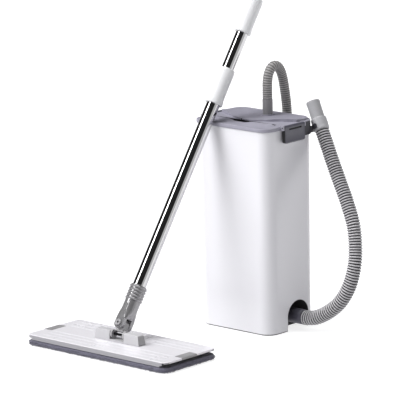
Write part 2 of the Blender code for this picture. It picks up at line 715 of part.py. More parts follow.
def build_cross(cross):
    """The cross-piece on the saddle pin, with the fork pin and its cap."""
    side = cross @ Matrix.Rotation(math.pi / 2, 4, "Y")
    piece = stack("cross_piece", [(0.0076, -0.0174), (0.0083, -0.0166), (0.0083, 0.0166), (0.0076, 0.0174)],
                  "grey_plastic", side, 24)
    cut(piece, block("window_helper", (-0.0132, -0.0200, -0.0200), (0.0132, 0.0200, 0.0052), "grey_plastic", cross))
    lug = block("lug_helper", (-0.0092, -0.0065, 0.0054), (0.0092, 0.0065, PIN_STEP), "grey_plastic", cross)
    cheek = along_y(cross, PIN_STEP)
    eye = stack("eye_helper", [(0.0093, -0.0064), (0.0093, 0.0064)], "grey_plastic", cheek, 24)
    join(piece, lug)
    join(piece, eye)
    cut(piece, stack("cross_bore_helper", [(0.0028, -0.0300), (0.0028, 0.0300)], "grey_plastic", side, 16))
    cut(piece, stack("fork_bore_helper", [(0.0033, -0.0300), (0.0033, 0.0300)], "grey_plastic", cheek, 16))
    set_origin(piece, cross.translation)
    pin = stack("fork_pin", [(0.0052, -0.0174), (0.0063, -0.0166), (0.0063, -0.0149), (0.0030, -0.0149),
                             (0.0030, 0.0170)], "grey_plastic", cheek, 20)
    set_origin(pin, cheek.translation)
    cap = ring("fork_pin_cap", [(0.0060, 0.0149), (0.0060, 0.0165), (0.0052, 0.0173), (0.0033, 0.0173),
                                (0.0033, 0.0149)], "grey_plastic", cheek, 20)
    set_origin(cap, cheek.translation)


def build_pole(pole):
    """The fork connector, the tubes with their couplers, and the grip."""
    cheek = along_y(pole)
    fork = stack("fork_connector", [(0.0100, -0.0145), (0.0100, 0.0145)], "grey_plastic", cheek, 28)
    join(fork, block("prong_helper", (-0.0099, -0.0144, 0.0), (0.0099, 0.0144, 0.0140), "grey_plastic", pole))
    loops = [rounded(0.0118, 0.0145, 0.0050, 0.0112, 6), rounded(0.0135, 0.0147, 0.0080, 0.0180, 6),
             rounded(0.0148, 0.0148, 0.01479, 0.0300, 6), rounded(0.0148, 0.0148, 0.01479, 0.0480, 6)]
    join(fork, loft("neck_helper", loops, "grey_plastic", pole))
    cut(fork, block("fork_gap_helper", (-0.0200, -0.0069, -0.0200), (0.0200, 0.0069, 0.0112), "grey_plastic", pole))
    cut(fork, stack("fork_hole_helper", [(0.0033, -0.0300), (0.0033, 0.0300)], "grey_plastic", cheek, 16))
    bore = [(TUBE_R + GAP, TUBE_LOW - GAP), (TUBE_R + GAP, 0.0600)]
    cut(fork, stack("tube_bore_helper", bore, "grey_plastic", pole))

    outline = [(TUBE_R + GAP, 0.0483), (0.0152, 0.0483)]
    pitch = 0.0058
    for k in range(5):
        low = 0.0486 + k * pitch
        outline += [(0.0166, low + 0.0006), (0.0166, low + 0.0034), (0.0152, low + 0.0040), (0.0152, low + 0.0056)]
    outline += [(TUBE_R + GAP, 0.0776)]
    ring("ribbed_collar", outline, "grey_plastic", pole)

    outer, inner = TUBE_R, TUBE_R - TUBE_WALL
    pipe("lower_tube", outer, inner, TUBE_LOW, TUBE_END, "chrome", pole)
    mid = outer - TUBE_STEP
    low, high = COUPLER_1
    ring("coupler_lower", [(0.0168, low), (0.0166, low + 0.0050), (0.0155, low + 0.0110), (0.0155, high - 0.0080),
                           (0.0146, high), (mid + GAP, high), (mid + GAP, high - 0.0040),
                           (outer + GAP, high - 0.0040), (outer + GAP, low)], "white_plastic", pole)
    pipe("collet_lower", outer, mid + GAP, TUBE_END + 0.0006, high - 0.0044, "dark_rubber", pole)
    pipe("middle_tube", mid, mid - TUBE_WALL, MID_LOW, MID_END, "chrome", pole)
    top = mid - TUBE_STEP
    low, high = COUPLER_2
    ring("coupler_upper", [(0.0160, low), (0.0158, low + 0.0050), (0.0148, low + 0.0110), (0.0148, high - 0.0080),
                           (0.0139, high), (top + GAP, high), (top + GAP, high - 0.0060), (mid + GAP, high - 0.0060),
                           (mid + GAP, low)], "white_plastic", pole)
    pipe("collet_upper", mid, top + GAP, MID_END + 0.0006, high - 0.0064, "dark_rubber", pole)
    pipe("upper_tube", top, top - TUBE_WALL, TOP_LOW, TOP_END, "chrome", pole)

    low, high = GRIP
    bottom = TOP_END + GAP
    grip = stack("hand_grip", [(0.0138, low), (0.0150, low + 0.0030), (0.0145, low + 0.0500), (0.0152, low + 0.1000),
                               (0.0150, high - 0.0040), (0.0130, high)], "white_plastic", pole)
    bore = [(top + GAP, low - 0.0100), (top + GAP, bottom)]
    cut(grip, stack("grip_bore_helper", bore, "white_plastic", pole))
    loop_profile = []
    for k in range(25):
        turn = math.radians(-60 + 300 * k / 24)
        loop_profile.append((0.0130 * math.cos(turn), 0.0130 * math.sin(turn)))
    centre = LOOP_END - 0.0140
    outline = [(x, z + centre) for x, z in loop_profile]
    outline += [(-0.0100, high + GAP), (0.0100, high + GAP)]
    loop = prism("hanging_loop", outline, -0.0035, 0.0035, "lid_plastic", "Y", pole)
    eye = along_y(pole, centre)
    cut(loop, stack("loop_hole_helper", [(0.0080, -0.0200), (0.0080, 0.0200)], "lid_plastic", eye, 20))


def main():
    clear_scene()
    build_drain(build_tub())
    build_lid()
    build_latch(-1, "latch_left")
    build_latch(1, "latch_right")
    build_head()
    tilt = Matrix.Rotation(-LEAN_BACK, 4, "X")
    cross = Matrix.Translation((SADDLE_X, SADDLE_Y, SADDLE_Z)) @ tilt
    build_cross(cross)
    pole = cross @ Matrix.Translation((0, 0, PIN_STEP)) @ Matrix.Rotation(LEAN_SIDE, 4, "Y")
    build_pole(pole)


if __name__ == "__main__":
    main()
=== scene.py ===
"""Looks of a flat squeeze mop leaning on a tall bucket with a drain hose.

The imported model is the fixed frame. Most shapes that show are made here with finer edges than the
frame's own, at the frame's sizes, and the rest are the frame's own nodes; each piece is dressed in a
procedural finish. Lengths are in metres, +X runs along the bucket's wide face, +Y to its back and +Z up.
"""

import json  # noqa: E402
import logging  # noqa: E402
import math  # noqa: E402
from collections.abc import Callable, Iterable, Sequence  # noqa: E402
from dataclasses import dataclass, field  # noqa: E402
from enum import Enum  # noqa: E402

import bmesh  # noqa: E402
import bpy  # noqa: E402
from mathutils import Matrix, Vector  # noqa: E402

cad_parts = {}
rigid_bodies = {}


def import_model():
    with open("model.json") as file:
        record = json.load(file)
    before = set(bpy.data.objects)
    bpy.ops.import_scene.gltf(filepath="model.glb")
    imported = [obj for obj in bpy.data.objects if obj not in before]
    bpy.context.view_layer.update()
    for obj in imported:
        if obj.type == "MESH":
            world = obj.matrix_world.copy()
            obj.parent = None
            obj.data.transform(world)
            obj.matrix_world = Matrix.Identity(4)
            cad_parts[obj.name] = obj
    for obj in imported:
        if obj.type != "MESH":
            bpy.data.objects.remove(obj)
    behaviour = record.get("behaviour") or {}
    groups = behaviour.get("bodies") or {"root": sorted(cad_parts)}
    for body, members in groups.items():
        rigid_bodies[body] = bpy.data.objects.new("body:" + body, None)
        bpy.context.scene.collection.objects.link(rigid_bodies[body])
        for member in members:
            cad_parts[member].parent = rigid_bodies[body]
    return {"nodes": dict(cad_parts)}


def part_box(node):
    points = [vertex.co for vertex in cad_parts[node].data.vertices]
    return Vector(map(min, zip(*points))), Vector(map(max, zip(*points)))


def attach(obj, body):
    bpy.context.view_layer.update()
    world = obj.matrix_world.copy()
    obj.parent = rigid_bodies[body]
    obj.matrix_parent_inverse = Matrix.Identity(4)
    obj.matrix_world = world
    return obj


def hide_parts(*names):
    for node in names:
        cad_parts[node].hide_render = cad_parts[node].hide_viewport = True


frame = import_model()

logging.basicConfig(level=logging.INFO, format="%(message)s")
log = logging.getLogger("mop_and_bucket")

Point = tuple[float, float, float]
Pair = tuple[float, float]
GAP = 0.0003
TUB_CORNER = 0.0240
RECESS_Y = 0.0147
DRAIN_Z = 0.0250
SOCKET: Pair = (0.0105, 0.0293)
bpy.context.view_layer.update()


class Axis(Enum):
    """The axis that an outline is pushed along."""

    X = "X"
    Y = "Y"
    Z = "Z"


class Body(Enum):
    """The moving bodies of the frame."""

    TUB = "tub"
    LID = "lid"
    LATCH_LEFT = "latch_left"
    LATCH_RIGHT = "latch_right"
    HEAD = "mop_head"
    CROSS = "cross"
    POLE = "pole"
    COUPLER_LOWER = "coupler_lower"
    MIDDLE = "middle"
    COUPLER_UPPER = "coupler_upper"
    UPPER = "upper"


# ------------------------------------------------------------------ shapes


def circle(radius: float, z: float, count: int) -> list[Point]:
    """Points of a circle about Z.

    Args:
        radius: The circle's radius.
        z: Its height.
        count: How many points.

    Returns:
        The points in order.
    """
    turns = [2 * math.pi * k / count for k in range(count)]
    return [(radius * math.cos(turn), radius * math.sin(turn), z) for turn in turns]


def rounded(half_x: float, half_y: float, radius: float, z: float, steps: int = 12,
            centre: Pair = (0.0, 0.0)) -> list[Point]:
    """Points of a rounded rectangle.

    Args:
        half_x: Half its size along X.
        half_y: Half its size along Y.
        radius: The corner radius.
        z: Its height.
        steps: How many steps each corner takes.
        centre: Its middle in X and Y.

    Returns:
        The points in order.
    """
    loop = []
    for sign_x, sign_y, start in ((1, 1, 0), (-1, 1, 90), (-1, -1, 180), (1, -1, 270)):
        for k in range(steps + 1):
            turn = math.radians(start + 90 * k / steps)
            loop.append((centre[0] + sign_x * (half_x - radius) + radius * math.cos(turn),
                         centre[1] + sign_y * (half_y - radius) + radius * math.sin(turn), z))
    return loop


def eased(part: float) -> float:
    """A share from 0 to 1 that starts and ends gently."""
    return part * part * (3 - 2 * part)


def slab_faces(columns: int, rows: int) -> list[tuple[int, ...]]:
    """The faces of a slab whose points come in columns of top and bottom pairs.

    Args:
        columns: How many columns it has.
        rows: How many pairs each column has.

    Returns:
        The faces as point numbers.
    """
    step = rows * 2
    faces: list[tuple[int, ...]] = []
    for c in range(columns - 1):
        for k in range(rows - 1):
            a = c * step + 2 * k
            faces += [(a, a + step, a + step + 2, a + 2), (a + 1, a + 3, a + step + 3, a + step + 1)]
        a = c * step
        b = a + 2 * (rows - 1)
        faces += [(a, a + 1, a + step + 1, a + step), (b, b + step, b + step + 1, b + 1)]
    for c in (0, columns - 1):
        faces += [(a, a + 2, a + 3, a + 1) for a in range(c * step, c * step + step - 2, 2)]
    return faces


def facing(direction: Iterable[float], origin: Iterable[float],
           side: Iterable[float] = (0.0, 0.0, 1.0)) -> Matrix:
    """A frame whose Z runs along a direction.

    Args:
        direction: Where its Z points.
        origin: Its origin.
        side: A second direction that settles the turn about Z.

    Returns:
        The frame as a matrix.
    """
    z = Vector(direction).normalized()
    x = Vector(side).cross(z)
    if x.length < 1e-6:
        x = Vector((1.0, 0.0, 0.0))
    x.normalize()
    turned = Matrix((x, z.cross(x), z)).transposed().to_4x4()
    return Matrix.Translation(Vector(origin)) @ turned


def along_y(matrix: Matrix, z: float = 0.0) -> Matrix:
    """A frame at height z of the given one, whose Z runs along the given one's Y."""
    return matrix @ Matrix.Translation((0, 0, z)) @ Matrix.Rotation(-math.pi / 2, 4, "X")


def along_x(x: float, y: float, z: float) -> Matrix:
    """A frame at a point, whose Z runs along X."""
    return Matrix.Translation((x, y, z)) @ Matrix.Rotation(math.pi / 2, 4, "Y")


def smooth_route(route: Sequence[Point], spacing: float) -> list[Vector]:
    """Even points along a Catmull-Rom curve.

    Args:
        route: The points that the curve goes through.
        spacing: The distance between the points it gives.

    Returns:
        The even points, the route's ends among them.
    """
    knots = [Vector(point) for point in route]
    knots = [2 * knots[0] - knots[1], *knots, 2 * knots[-1] - knots[-2]]
    fine = []
    for a, b, c, d in zip(knots, knots[1:], knots[2:], knots[3:]):
        for k in range(24):
            t = k / 24
            fine.append(0.5 * (2 * b + (c - a) * t + (2 * a - 5 * b + 4 * c - d) * t**2
                               + (3 * b - a - 3 * c + d) * t**3))
    fine.append(knots[-2])
    lengths = [0.0]
    for start, end in zip(fine, fine[1:]):
        lengths.append(lengths[-1] + (end - start).length)
    count = round(lengths[-1] / spacing)
    even, row = [], 0
    for k in range(count + 1):
        want = lengths[-1] * k / count
        while row < len(fine) - 2 and lengths[row + 1] < want:
            row += 1
        part = (want - lengths[row]) / max(lengths[row + 1] - lengths[row], 1e-9)
        even.append(fine[row].lerp(fine[row + 1], part))
    return even


def baked(obj: bpy.types.Object) -> bpy.types.Object:
    """Applies an object's modifiers and its place to its mesh.

    Args:
        obj: The object, with its modifiers live.

    Returns:
        The same object at the origin, with a plain mesh and no modifiers.
    """
    bpy.context.view_layer.update()
    graph = bpy.context.evaluated_depsgraph_get()
    mesh = bpy.data.meshes.new_from_object(obj.evaluated_get(graph))
    mesh.transform(obj.matrix_world)
    obj.modifiers.clear()
    if obj.type != "MESH":
        raise TypeError(f"{obj.name} is not a mesh")
    obj.data = mesh
    mesh.name = obj.name
    obj.matrix_world = Matrix.Identity(4)
    return obj


def new_object(name: str, mesh: bpy.types.Mesh) -> bpy.types.Object:
    """A new object in the scene.

    Args:
        name: Its name.
        mesh: Its mesh.

    Returns:
        The object.
    """
    made = bpy.data.objects.new(name, mesh)
    bpy.context.scene.collection.objects.link(made)
    return made


@dataclass
class Blank:
    """A solid under construction, with the helpers that cut it or add to it."""

    obj: bpy.types.Object
    helpers: list[bpy.types.Object] = field(default_factory=list)

    @classmethod
    def solid(cls, name: str, points: Iterable[Iterable[float]], faces: Iterable[Sequence[int]],
              matrix: Matrix | None = None) -> "Blank":
        """A closed mesh with its normals turned outward.

        Args:
            name: The object's name.
            points: Its points.
            faces: Its faces as point numbers.
            matrix: Its place.

        Returns:
            The blank.
        """
        mesh = bpy.data.meshes.new(name)
        mesh.from_pydata([tuple(point) for point in points], [], [tuple(face) for face in faces])
        shape = bmesh.new()
        shape.from_mesh(mesh)
        bmesh.ops.recalc_face_normals(shape, faces=shape.faces)
        shape.to_mesh(mesh)
        shape.free()
        made = new_object(name, mesh)
        if matrix:
            made.matrix_world = matrix
        return cls(made)

    @classmethod
    def loft(cls, name: str, loops: Sequence[Sequence[Point]], matrix: Matrix | None = None,
             ring: bool = False) -> "Blank":
        """Loops of equal length joined in order.

        Args:
            name: The object's name.
            loops: The loops, bottom to top.
            matrix: Its place.
            ring: Whether the last loop joins the first, or both are capped.

        Returns:
            The blank.
        """
        count, rows = len(loops[0]), len(loops)
        points = [point for loop in loops for point in loop]
        faces: list[tuple[int, ...]] = []
        if not ring:
            faces = [tuple(range(count)), tuple(range(len(points) - count, len(points)))]
        for row in range(rows if ring else rows - 1):
            above = (row + 1) % rows
            for k in range(count):
                n = (k + 1) % count
                faces.append((row * count + k, row * count + n, above * count + n, above * count + k))
        return cls.solid(name, points, faces, matrix)

    @classmethod
    def turned(cls, name: str, profile: Sequence[Pair], matrix: Matrix | None = None, count: int = 64,
               ring: bool = False) -> "Blank":
        """A shape turned about Z.

        Args:
            name: The object's name.
            profile: Radius and height pairs, bottom to top.
            matrix: Its place.
            count: How many steps round.
            ring: Whether the profile closes on itself, as for a tube.

        Returns:
            The blank.
        """
        return cls.loft(name, [circle(radius, z, count) for radius, z in profile], matrix, ring)

    @classmethod
    def block(cls, name: str, low: Point, high: Point, matrix: Matrix | None = None) -> "Blank":
        """A box between two corners.

        Args:
            name: The object's name.
            low: The lowest corner.
            high: The highest corner.
            matrix: Its place.

        Returns:
            The blank.
        """
        loops = [[(low[0], low[1], z), (high[0], low[1], z), (high[0], high[1], z), (low[0], high[1], z)]
                 for z in (low[2], high[2])]
        return cls.loft(name, loops, matrix)

    @classmethod
    def prism(cls, name: str, outline: Sequence[Pair], low: float, high: float, axis: Axis = Axis.Z,
              matrix: Matrix | None = None) -> "Blank":
        """An outline pushed along one axis.

        Args:
            name: The object's name.
            outline: Pairs (y, z) for X, (x, z) for Y and (x, y) for Z.
            low: Where it starts.
            high: Where it ends.
            axis: The axis.
            matrix: Its place.

        Returns:
            The blank.
        """
        def place(pair: Pair, along: float) -> Point:
            """One point of the outline.

            Args:
                pair: The point in the outline.
                along: How far along the axis.

            Returns:
                The point in space.
            """
            if axis is Axis.X:
                return (along, pair[0], pair[1])
            if axis is Axis.Y:
                return (pair[0], along, pair[1])
            return (pair[0], pair[1], along)

        return cls.loft(name, [[place(pair, along) for pair in outline] for along in (low, high)], matrix)

    def _combine(self, other: "Blank", operation: str) -> "Blank":
        """Adds a Boolean with another blank.

        Args:
            other: The other blank.
            operation: UNION or DIFFERENCE.

        Returns:
            This blank.
        """
        step = self.obj.modifiers.new(other.obj.name, "BOOLEAN")
        step.operation = operation
        step.solver = "EXACT"
        step.object = other.obj
        other.obj.hide_render = True
        self.helpers += [other.obj, *other.helpers]
        return self

    def join(self, *others: "Blank") -> "Blank":
        """Adds other blanks' solids.

        Args:
            *others: The blanks to add.

        Returns:
            This blank.
        """
        for other in others:
            self._combine(other, "UNION")
        return self

    def cut(self, *others: "Blank") -> "Blank":
        """Takes other blanks' solids out.

        Args:
            *others: The blanks to take out.

        Returns:
            This blank.
        """
        for other in others:
            self._combine(other, "DIFFERENCE")
        return self

    def settle(self, bevel: float = 0.0, segments: int = 3, corner: float = 35.0) -> bpy.types.Object:
        """Turns the blank into a finished plain mesh.

        Args:
            bevel: How wide its sharp edges are rounded.
            segments: How many steps that rounding takes.
            corner: From how many degrees an edge counts as sharp.

        Returns:
            The finished object at the origin.
        """
        baked(self.obj)
        for helper in self.helpers:
            if helper.name in bpy.data.objects:
                bpy.data.objects.remove(helper)
        mesh = self.obj.data
        shape = bmesh.new()
        shape.from_mesh(mesh)
        bmesh.ops.remove_doubles(shape, verts=shape.verts, dist=3e-6)
        bmesh.ops.dissolve_limit(shape, angle_limit=math.radians(0.15), verts=shape.verts, edges=shape.edges)
        bmesh.ops.recalc_face_normals(shape, faces=shape.faces)
        shape.to_mesh(mesh)
        shape.free()
        mesh.shade_smooth()
        if bevel:
            step = self.obj.modifiers.new("rounded_edges", "BEVEL")
            step.width = bevel
            step.segments = segments
            step.limit_method = "ANGLE"
            step.angle_limit = math.radians(corner)
            step.use_clamp_overlap = True
            baked(self.obj)
        self.obj.data.set_sharp_from_angle(angle=math.radians(corner))
        even = self.obj.modifiers.new("even_normals", "WEIGHTED_NORMAL")
        even.keep_sharp = True
        even.weight = 80
        return baked(self.obj)


# ---------------------------------------------------------------- shading


class Nodes:
    """Short ways to add and wire nodes in one tree."""

    def __init__(self, tree: bpy.types.NodeTree) -> None:
        """Keeps the tree."""
        self.tree = tree

    def add(self, kind: str, settings: dict[str, object] | None = None, **values: object) -> bpy.types.Node:
        """Adds a node.

        Args:
            kind: The node's type.
            settings: Its properties.
            **values: Its inputs by name, underscores for spaces. A socket is linked, a value is set.

        Returns:
            The node.
        """
        node = self.tree.nodes.new(kind)
        for name, value in (settings or {}).items():
            setattr(node, name, value)
        return self.wire(node, **values)

    def wire(self, node: bpy.types.Node, **values: object) -> bpy.types.Node:
        """Links or sets inputs of a node.

        Args:
            node: The node.
            **values: Its inputs by name, as add takes them.

        Returns:
            The same node.
        """
        for name, value in values.items():
            self.feed(node.inputs[name.replace("_", " ")], value)
        return node

    def feed(self, socket: bpy.types.NodeSocket, value: object) -> None:
        """Links a socket into another, or sets its value.

        Args:
            socket: The input.
            value: A socket to link, or a value to set. None leaves the input alone.
        """
        if isinstance(value, bpy.types.NodeSocket):
            self.tree.links.new(value, socket)
        elif value is not None:
            socket.default_value = value

    def maths(self, operation: str, *values: object, clamp: bool = False) -> bpy.types.NodeSocket:
        """A Math node.

        Args:
            operation: Its operation.
            *values: Its inputs in order.
            clamp: Whether the result stays between 0 and 1.

        Returns:
            Its result.
        """
        node = self.add("ShaderNodeMath", {"operation": operation, "use_clamp": clamp})
        for socket, value in zip(node.inputs, values):
            self.feed(socket, value)
        return node.outputs[0]

    def vector(self, operation: str, *values: object) -> bpy.types.Node:
        """A Vector Math node.

        Args:
            operation: Its operation.
            *values: Its inputs in order.

        Returns:
            The node.
        """
        node = self.add("ShaderNodeVectorMath", {"operation": operation})
        for socket, value in zip(node.inputs, values):
            self.feed(socket, value)
        return node

    def blend(self, factor: object, a: object, b: object, kind: str = "MIX") -> bpy.types.NodeSocket:
        """A colour Mix node.

        Args:
            factor: How much of the second colour.
            a: The first colour.
            b: The second colour.
            kind: The blend type.

        Returns:
            Its colour.
        """
        node = self.add("ShaderNodeMix", {"data_type": "RGBA", "blend_type": kind})
        for index, value in ((0, factor), (6, a), (7, b)):
            self.feed(node.inputs[index], value)
        return node.outputs[2]

    def remap(self, value: object, low: float, high: float, to_low: float,
              to_high: float) -> bpy.types.NodeSocket:
        """A Map Range node with clamped ends.

        Args:
            value: What it reads.
            low: The value that gives to_low.
            high: The value that gives to_high.
            to_low: The result at low.
            to_high: The result at high.

        Returns:
            Its result.
        """
        node = self.add("ShaderNodeMapRange", Value=value, From_Min=low, From_Max=high, To_Min=to_low,
                        To_Max=to_high)
        return node.outputs[0]


class Effect(Enum):
    """The effects that several finishes share."""

    GRAIN = "mould_grain"
    SOIL = "light_soil"
    DRAWN = "drawn_lines"


Sockets = Sequence[tuple[str, str, float | None]]


def effect_group(effect: Effect, inputs: Sockets, outputs: Sockets) -> tuple[bpy.types.NodeTree, Nodes]:
    """An empty shader node group with named sockets.

    Args:
        effect: Which effect it is for.
        inputs: Name, socket kind and default of each input.
        outputs: The same for each output.

    Returns:
        The group and its node helper.
    """
    tree = bpy.data.node_groups.new(effect.value, "ShaderNodeTree")
    for way, sockets in (("INPUT", inputs), ("OUTPUT", outputs)):
        for name, kind, value in sockets:
            made = tree.interface.new_socket(name, in_out=way, socket_type=f"NodeSocket{kind}")
            if value is not None:
                made.default_value = value
    return tree, Nodes(tree)


def grain_group() -> bpy.types.NodeTree:
    """The fine texture of moulded plastic: tone, roughness and height that change over the surface.

    Returns:
        The group.
    """
    tree, nodes = effect_group(
        Effect.GRAIN,
        [("Vector", "Vector", None), ("Colour", "Color", None), ("Scale", "Float", 1500.0),
         ("Spread", "Float", 0.03), ("Roughness", "Float", 0.3), ("Rough Spread", "Float", 0.05)],
        [("Colour", "Color", None), ("Roughness", "Float", None), ("Height", "Float", None)])
    given = nodes.add("NodeGroupInput").outputs
    fine = nodes.add("ShaderNodeTexNoise", Vector=given["Vector"], Scale=given["Scale"], Detail=2.0,
                     Roughness=0.6)
    cells = nodes.add("ShaderNodeTexVoronoi", {"feature": "SMOOTH_F1"}, Vector=given["Vector"],
                      Scale=given["Scale"])
    broad = nodes.add("ShaderNodeTexNoise", Vector=given["Vector"], Scale=9.0, Detail=4.0, Roughness=0.55)
    height = nodes.maths("ADD", nodes.maths("MULTIPLY", fine.outputs["Fac"], 0.6),
                         nodes.maths("MULTIPLY", cells.outputs["Distance"], 0.4))
    swing = nodes.maths("MULTIPLY", nodes.maths("SUBTRACT", broad.outputs["Fac"], 0.5), given["Spread"])
    speck = nodes.maths("MULTIPLY", nodes.maths("SUBTRACT", fine.outputs["Fac"], 0.5), given["Spread"])
    tone = nodes.maths("ADD", 1.0, nodes.maths("ADD", nodes.maths("MULTIPLY", swing, 2.0), speck))
    colour = nodes.wire(nodes.vector("SCALE", given["Colour"]), Scale=tone)
    rough = nodes.maths("ADD", given["Roughness"],
                        nodes.maths("MULTIPLY", nodes.maths("SUBTRACT", broad.outputs["Fac"], 0.5),
                                    given["Rough Spread"]), clamp=True)
    nodes.add("NodeGroupOutput", Colour=colour.outputs[0], Roughness=rough, Height=height)
    return tree


def soil_group() -> bpy.types.NodeTree:
    """Dust on upward faces and rubbed edges, as a colour and a roughness.

    Returns:
        The group.
    """
    tree, nodes = effect_group(
        Effect.SOIL,
        [("Vector", "Vector", None), ("Colour", "Color", None), ("Roughness", "Float", 0.3),
         ("Dust", "Float", 0.05), ("Rub", "Float", 0.1)],
        [("Colour", "Color", None), ("Roughness", "Float", None)])
    given = nodes.add("NodeGroupInput").outputs
    ground = nodes.add("ShaderNodeNewGeometry")
    up = nodes.add("ShaderNodeSeparateXYZ", Vector=ground.outputs["Normal"]).outputs["Z"]
    patches = nodes.add("ShaderNodeTexNoise", Vector=given["Vector"], Scale=45.0, Detail=6.0, Roughness=0.7)
    lies = nodes.maths("MULTIPLY", nodes.remap(up, 0.3, 1.0, 0.0, 1.0),
                       nodes.remap(patches.outputs["Fac"], 0.45, 0.75, 0.0, 1.0))
    dust = nodes.maths("MULTIPLY", lies, given["Dust"], clamp=True)
    edge = nodes.remap(ground.outputs["Pointiness"], 0.52, 0.62, 0.0, 1.0)
    rub = nodes.maths("MULTIPLY", nodes.maths("MULTIPLY", edge, patches.outputs["Fac"]), given["Rub"],
                      clamp=True)
    dusty = nodes.blend(dust, given["Colour"], (0.62, 0.60, 0.57, 1.0))
    rubbed = nodes.blend(rub, dusty, (0.80, 0.80, 0.80, 1.0))
    rough = nodes.maths("ADD", given["Roughness"], nodes.maths("ADD", nodes.maths("MULTIPLY", dust, 0.6),
                                                               nodes.maths("MULTIPLY", rub, 0.3)), clamp=True)
    nodes.add("NodeGroupOutput", Colour=rubbed, Roughness=rough)
    return tree


def drawn_group() -> bpy.types.NodeTree:
    """The faint lines that drawing leaves along a metal tube, with finger smears between them.

    Returns:
        The group.
    """
    tree, nodes = effect_group(
        Effect.DRAWN,
        [("Vector", "Vector", None), ("Roughness", "Float", 0.08), ("Lines", "Float", 0.04),
         ("Smear", "Float", 0.05)],
        [("Roughness", "Float", None), ("Height", "Float", None)])
    given = nodes.add("NodeGroupInput").outputs
    stretch = nodes.vector("MULTIPLY", given["Vector"], (1.0, 1.0, 0.012)).outputs[0]
    lines = nodes.add("ShaderNodeTexNoise", Vector=stretch, Scale=2600.0, Detail=3.0, Roughness=0.7)
    smear = nodes.add("ShaderNodeTexNoise", Vector=given["Vector"], Scale=38.0, Detail=4.0, Roughness=0.6)
    haze = nodes.remap(smear.outputs["Fac"], 0.5, 0.75, 0.0, 1.0)
    rough = nodes.maths("ADD", given["Roughness"], nodes.maths(
        "ADD", nodes.maths("MULTIPLY", nodes.maths("SUBTRACT", lines.outputs["Fac"], 0.5), given["Lines"]),
        nodes.maths("MULTIPLY", haze, given["Smear"])), clamp=True)
    nodes.add("NodeGroupOutput", Roughness=rough, Height=lines.outputs["Fac"])
    return tree


MAKERS: dict[Effect, Callable[[], bpy.types.NodeTree]] = {
    Effect.GRAIN: grain_group, Effect.SOIL: soil_group, Effect.DRAWN: drawn_group}


def effect_node(nodes: Nodes, effect: Effect, **values: object) -> bpy.types.Node:
    """Places an effect's group in a material.

    Args:
        nodes: The material's node helper.
        effect: Which effect.
        **values: Its inputs by name.

    Returns:
        The group node.
    """
    tree = bpy.data.node_groups.get(effect.value) or MAKERS[effect]()
    node = nodes.tree.nodes.new("ShaderNodeGroup")
    node.node_tree = tree
    return nodes.wire(node, **values)


def blank_material(name: str) -> tuple[bpy.types.Material, Nodes, bpy.types.Node, bpy.types.NodeSocket]:
    """A material with only its shader.

    Args:
        name: The material's name.

    Returns:
        The material, its node helper, its shader and the object coordinates.
    """
    made = bpy.data.materials.new(name)
    made.use_nodes = True
    nodes = Nodes(made.node_tree)
    shader = made.node_tree.nodes["Principled BSDF"]
    place = nodes.add("ShaderNodeTexCoord").outputs["Object"]
    return made, nodes, shader, place


@dataclass(frozen=True)
class Plastic:
    """A moulded plastic, from high gloss to spark-eroded satin.

    The grain is the size of its fine texture and relief how deep that is. The spread is how much the
    tone changes, dust and rub how much soil lies on top and shows at edges, and glow how far light
    gets under the skin.
    """

    name: str
    slot: str
    colour: Point
    roughness: float = 0.3
    grain: float = 0.0006
    relief: float = 0.000008
    spread: float = 0.05
    coat: float = 0.0
    dust: float = 0.05
    rub: float = 0.05
    glow: float = 0.0

    def make(self) -> bpy.types.Material:
        """Builds the material.

        Returns:
            The material.
        """
        made, nodes, shader, place = blank_material(self.name)
        grain = effect_node(nodes, Effect.GRAIN, Vector=place, Colour=(*self.colour, 1.0), Scale=1 / self.grain,
                            Spread=self.spread, Roughness=self.roughness, Rough_Spread=0.12)
        soil = effect_node(nodes, Effect.SOIL, Vector=place, Colour=grain.outputs["Colour"],
                           Roughness=grain.outputs["Roughness"], Dust=self.dust, Rub=self.rub)
        bump = nodes.add("ShaderNodeBump", Strength=1.0, Distance=self.relief, Height=grain.outputs["Height"])
        nodes.wire(shader, Base_Color=soil.outputs["Colour"], Roughness=soil.outputs["Roughness"],
                   Normal=bump.outputs["Normal"], Coat_Weight=self.coat, Coat_Roughness=0.06,
                   Subsurface_Weight=self.glow, Subsurface_Radius=(0.004, 0.004, 0.0045))
        return made


@dataclass(frozen=True)
class Metal:
    """A drawn metal, its lines running along one direction.

    The lean turns that direction from Z. The share is how metallic it is: 1 for bare metal, less for a
    metal sheen over plastic.
    """

    name: str
    slot: str
    colour: Point
    roughness: float = 0.08
    lines: float = 0.05
    smear: float = 0.05
    relief: float = 0.0000004
    lean: Point = (0.0, 0.0, 0.0)
    share: float = 1.0

    def make(self) -> bpy.types.Material:
        """Builds the material.

        Returns:
            The material.
        """
        made, nodes, shader, place = blank_material(self.name)
        turned = nodes.add("ShaderNodeMapping", Vector=place, Rotation=self.lean).outputs["Vector"]
        drawn = effect_node(nodes, Effect.DRAWN, Vector=turned, Roughness=self.roughness, Lines=self.lines,
                            Smear=self.smear)
        patch = nodes.add("ShaderNodeTexNoise", Vector=turned, Scale=14.0, Detail=3.0)
        colour = nodes.blend(nodes.remap(patch.outputs["Fac"], 0.35, 0.7, 0.0, 0.25), (*self.colour, 1.0),
                             (self.colour[0] * 0.92, self.colour[1] * 0.93, self.colour[2] * 0.96, 1.0))
        bump = nodes.add("ShaderNodeBump", Strength=1.0, Distance=self.relief, Height=drawn.outputs["Height"])
        nodes.wire(shader, Base_Color=colour, Roughness=drawn.outputs["Roughness"],
                   Normal=bump.outputs["Normal"], Metallic=self.share)
        return made


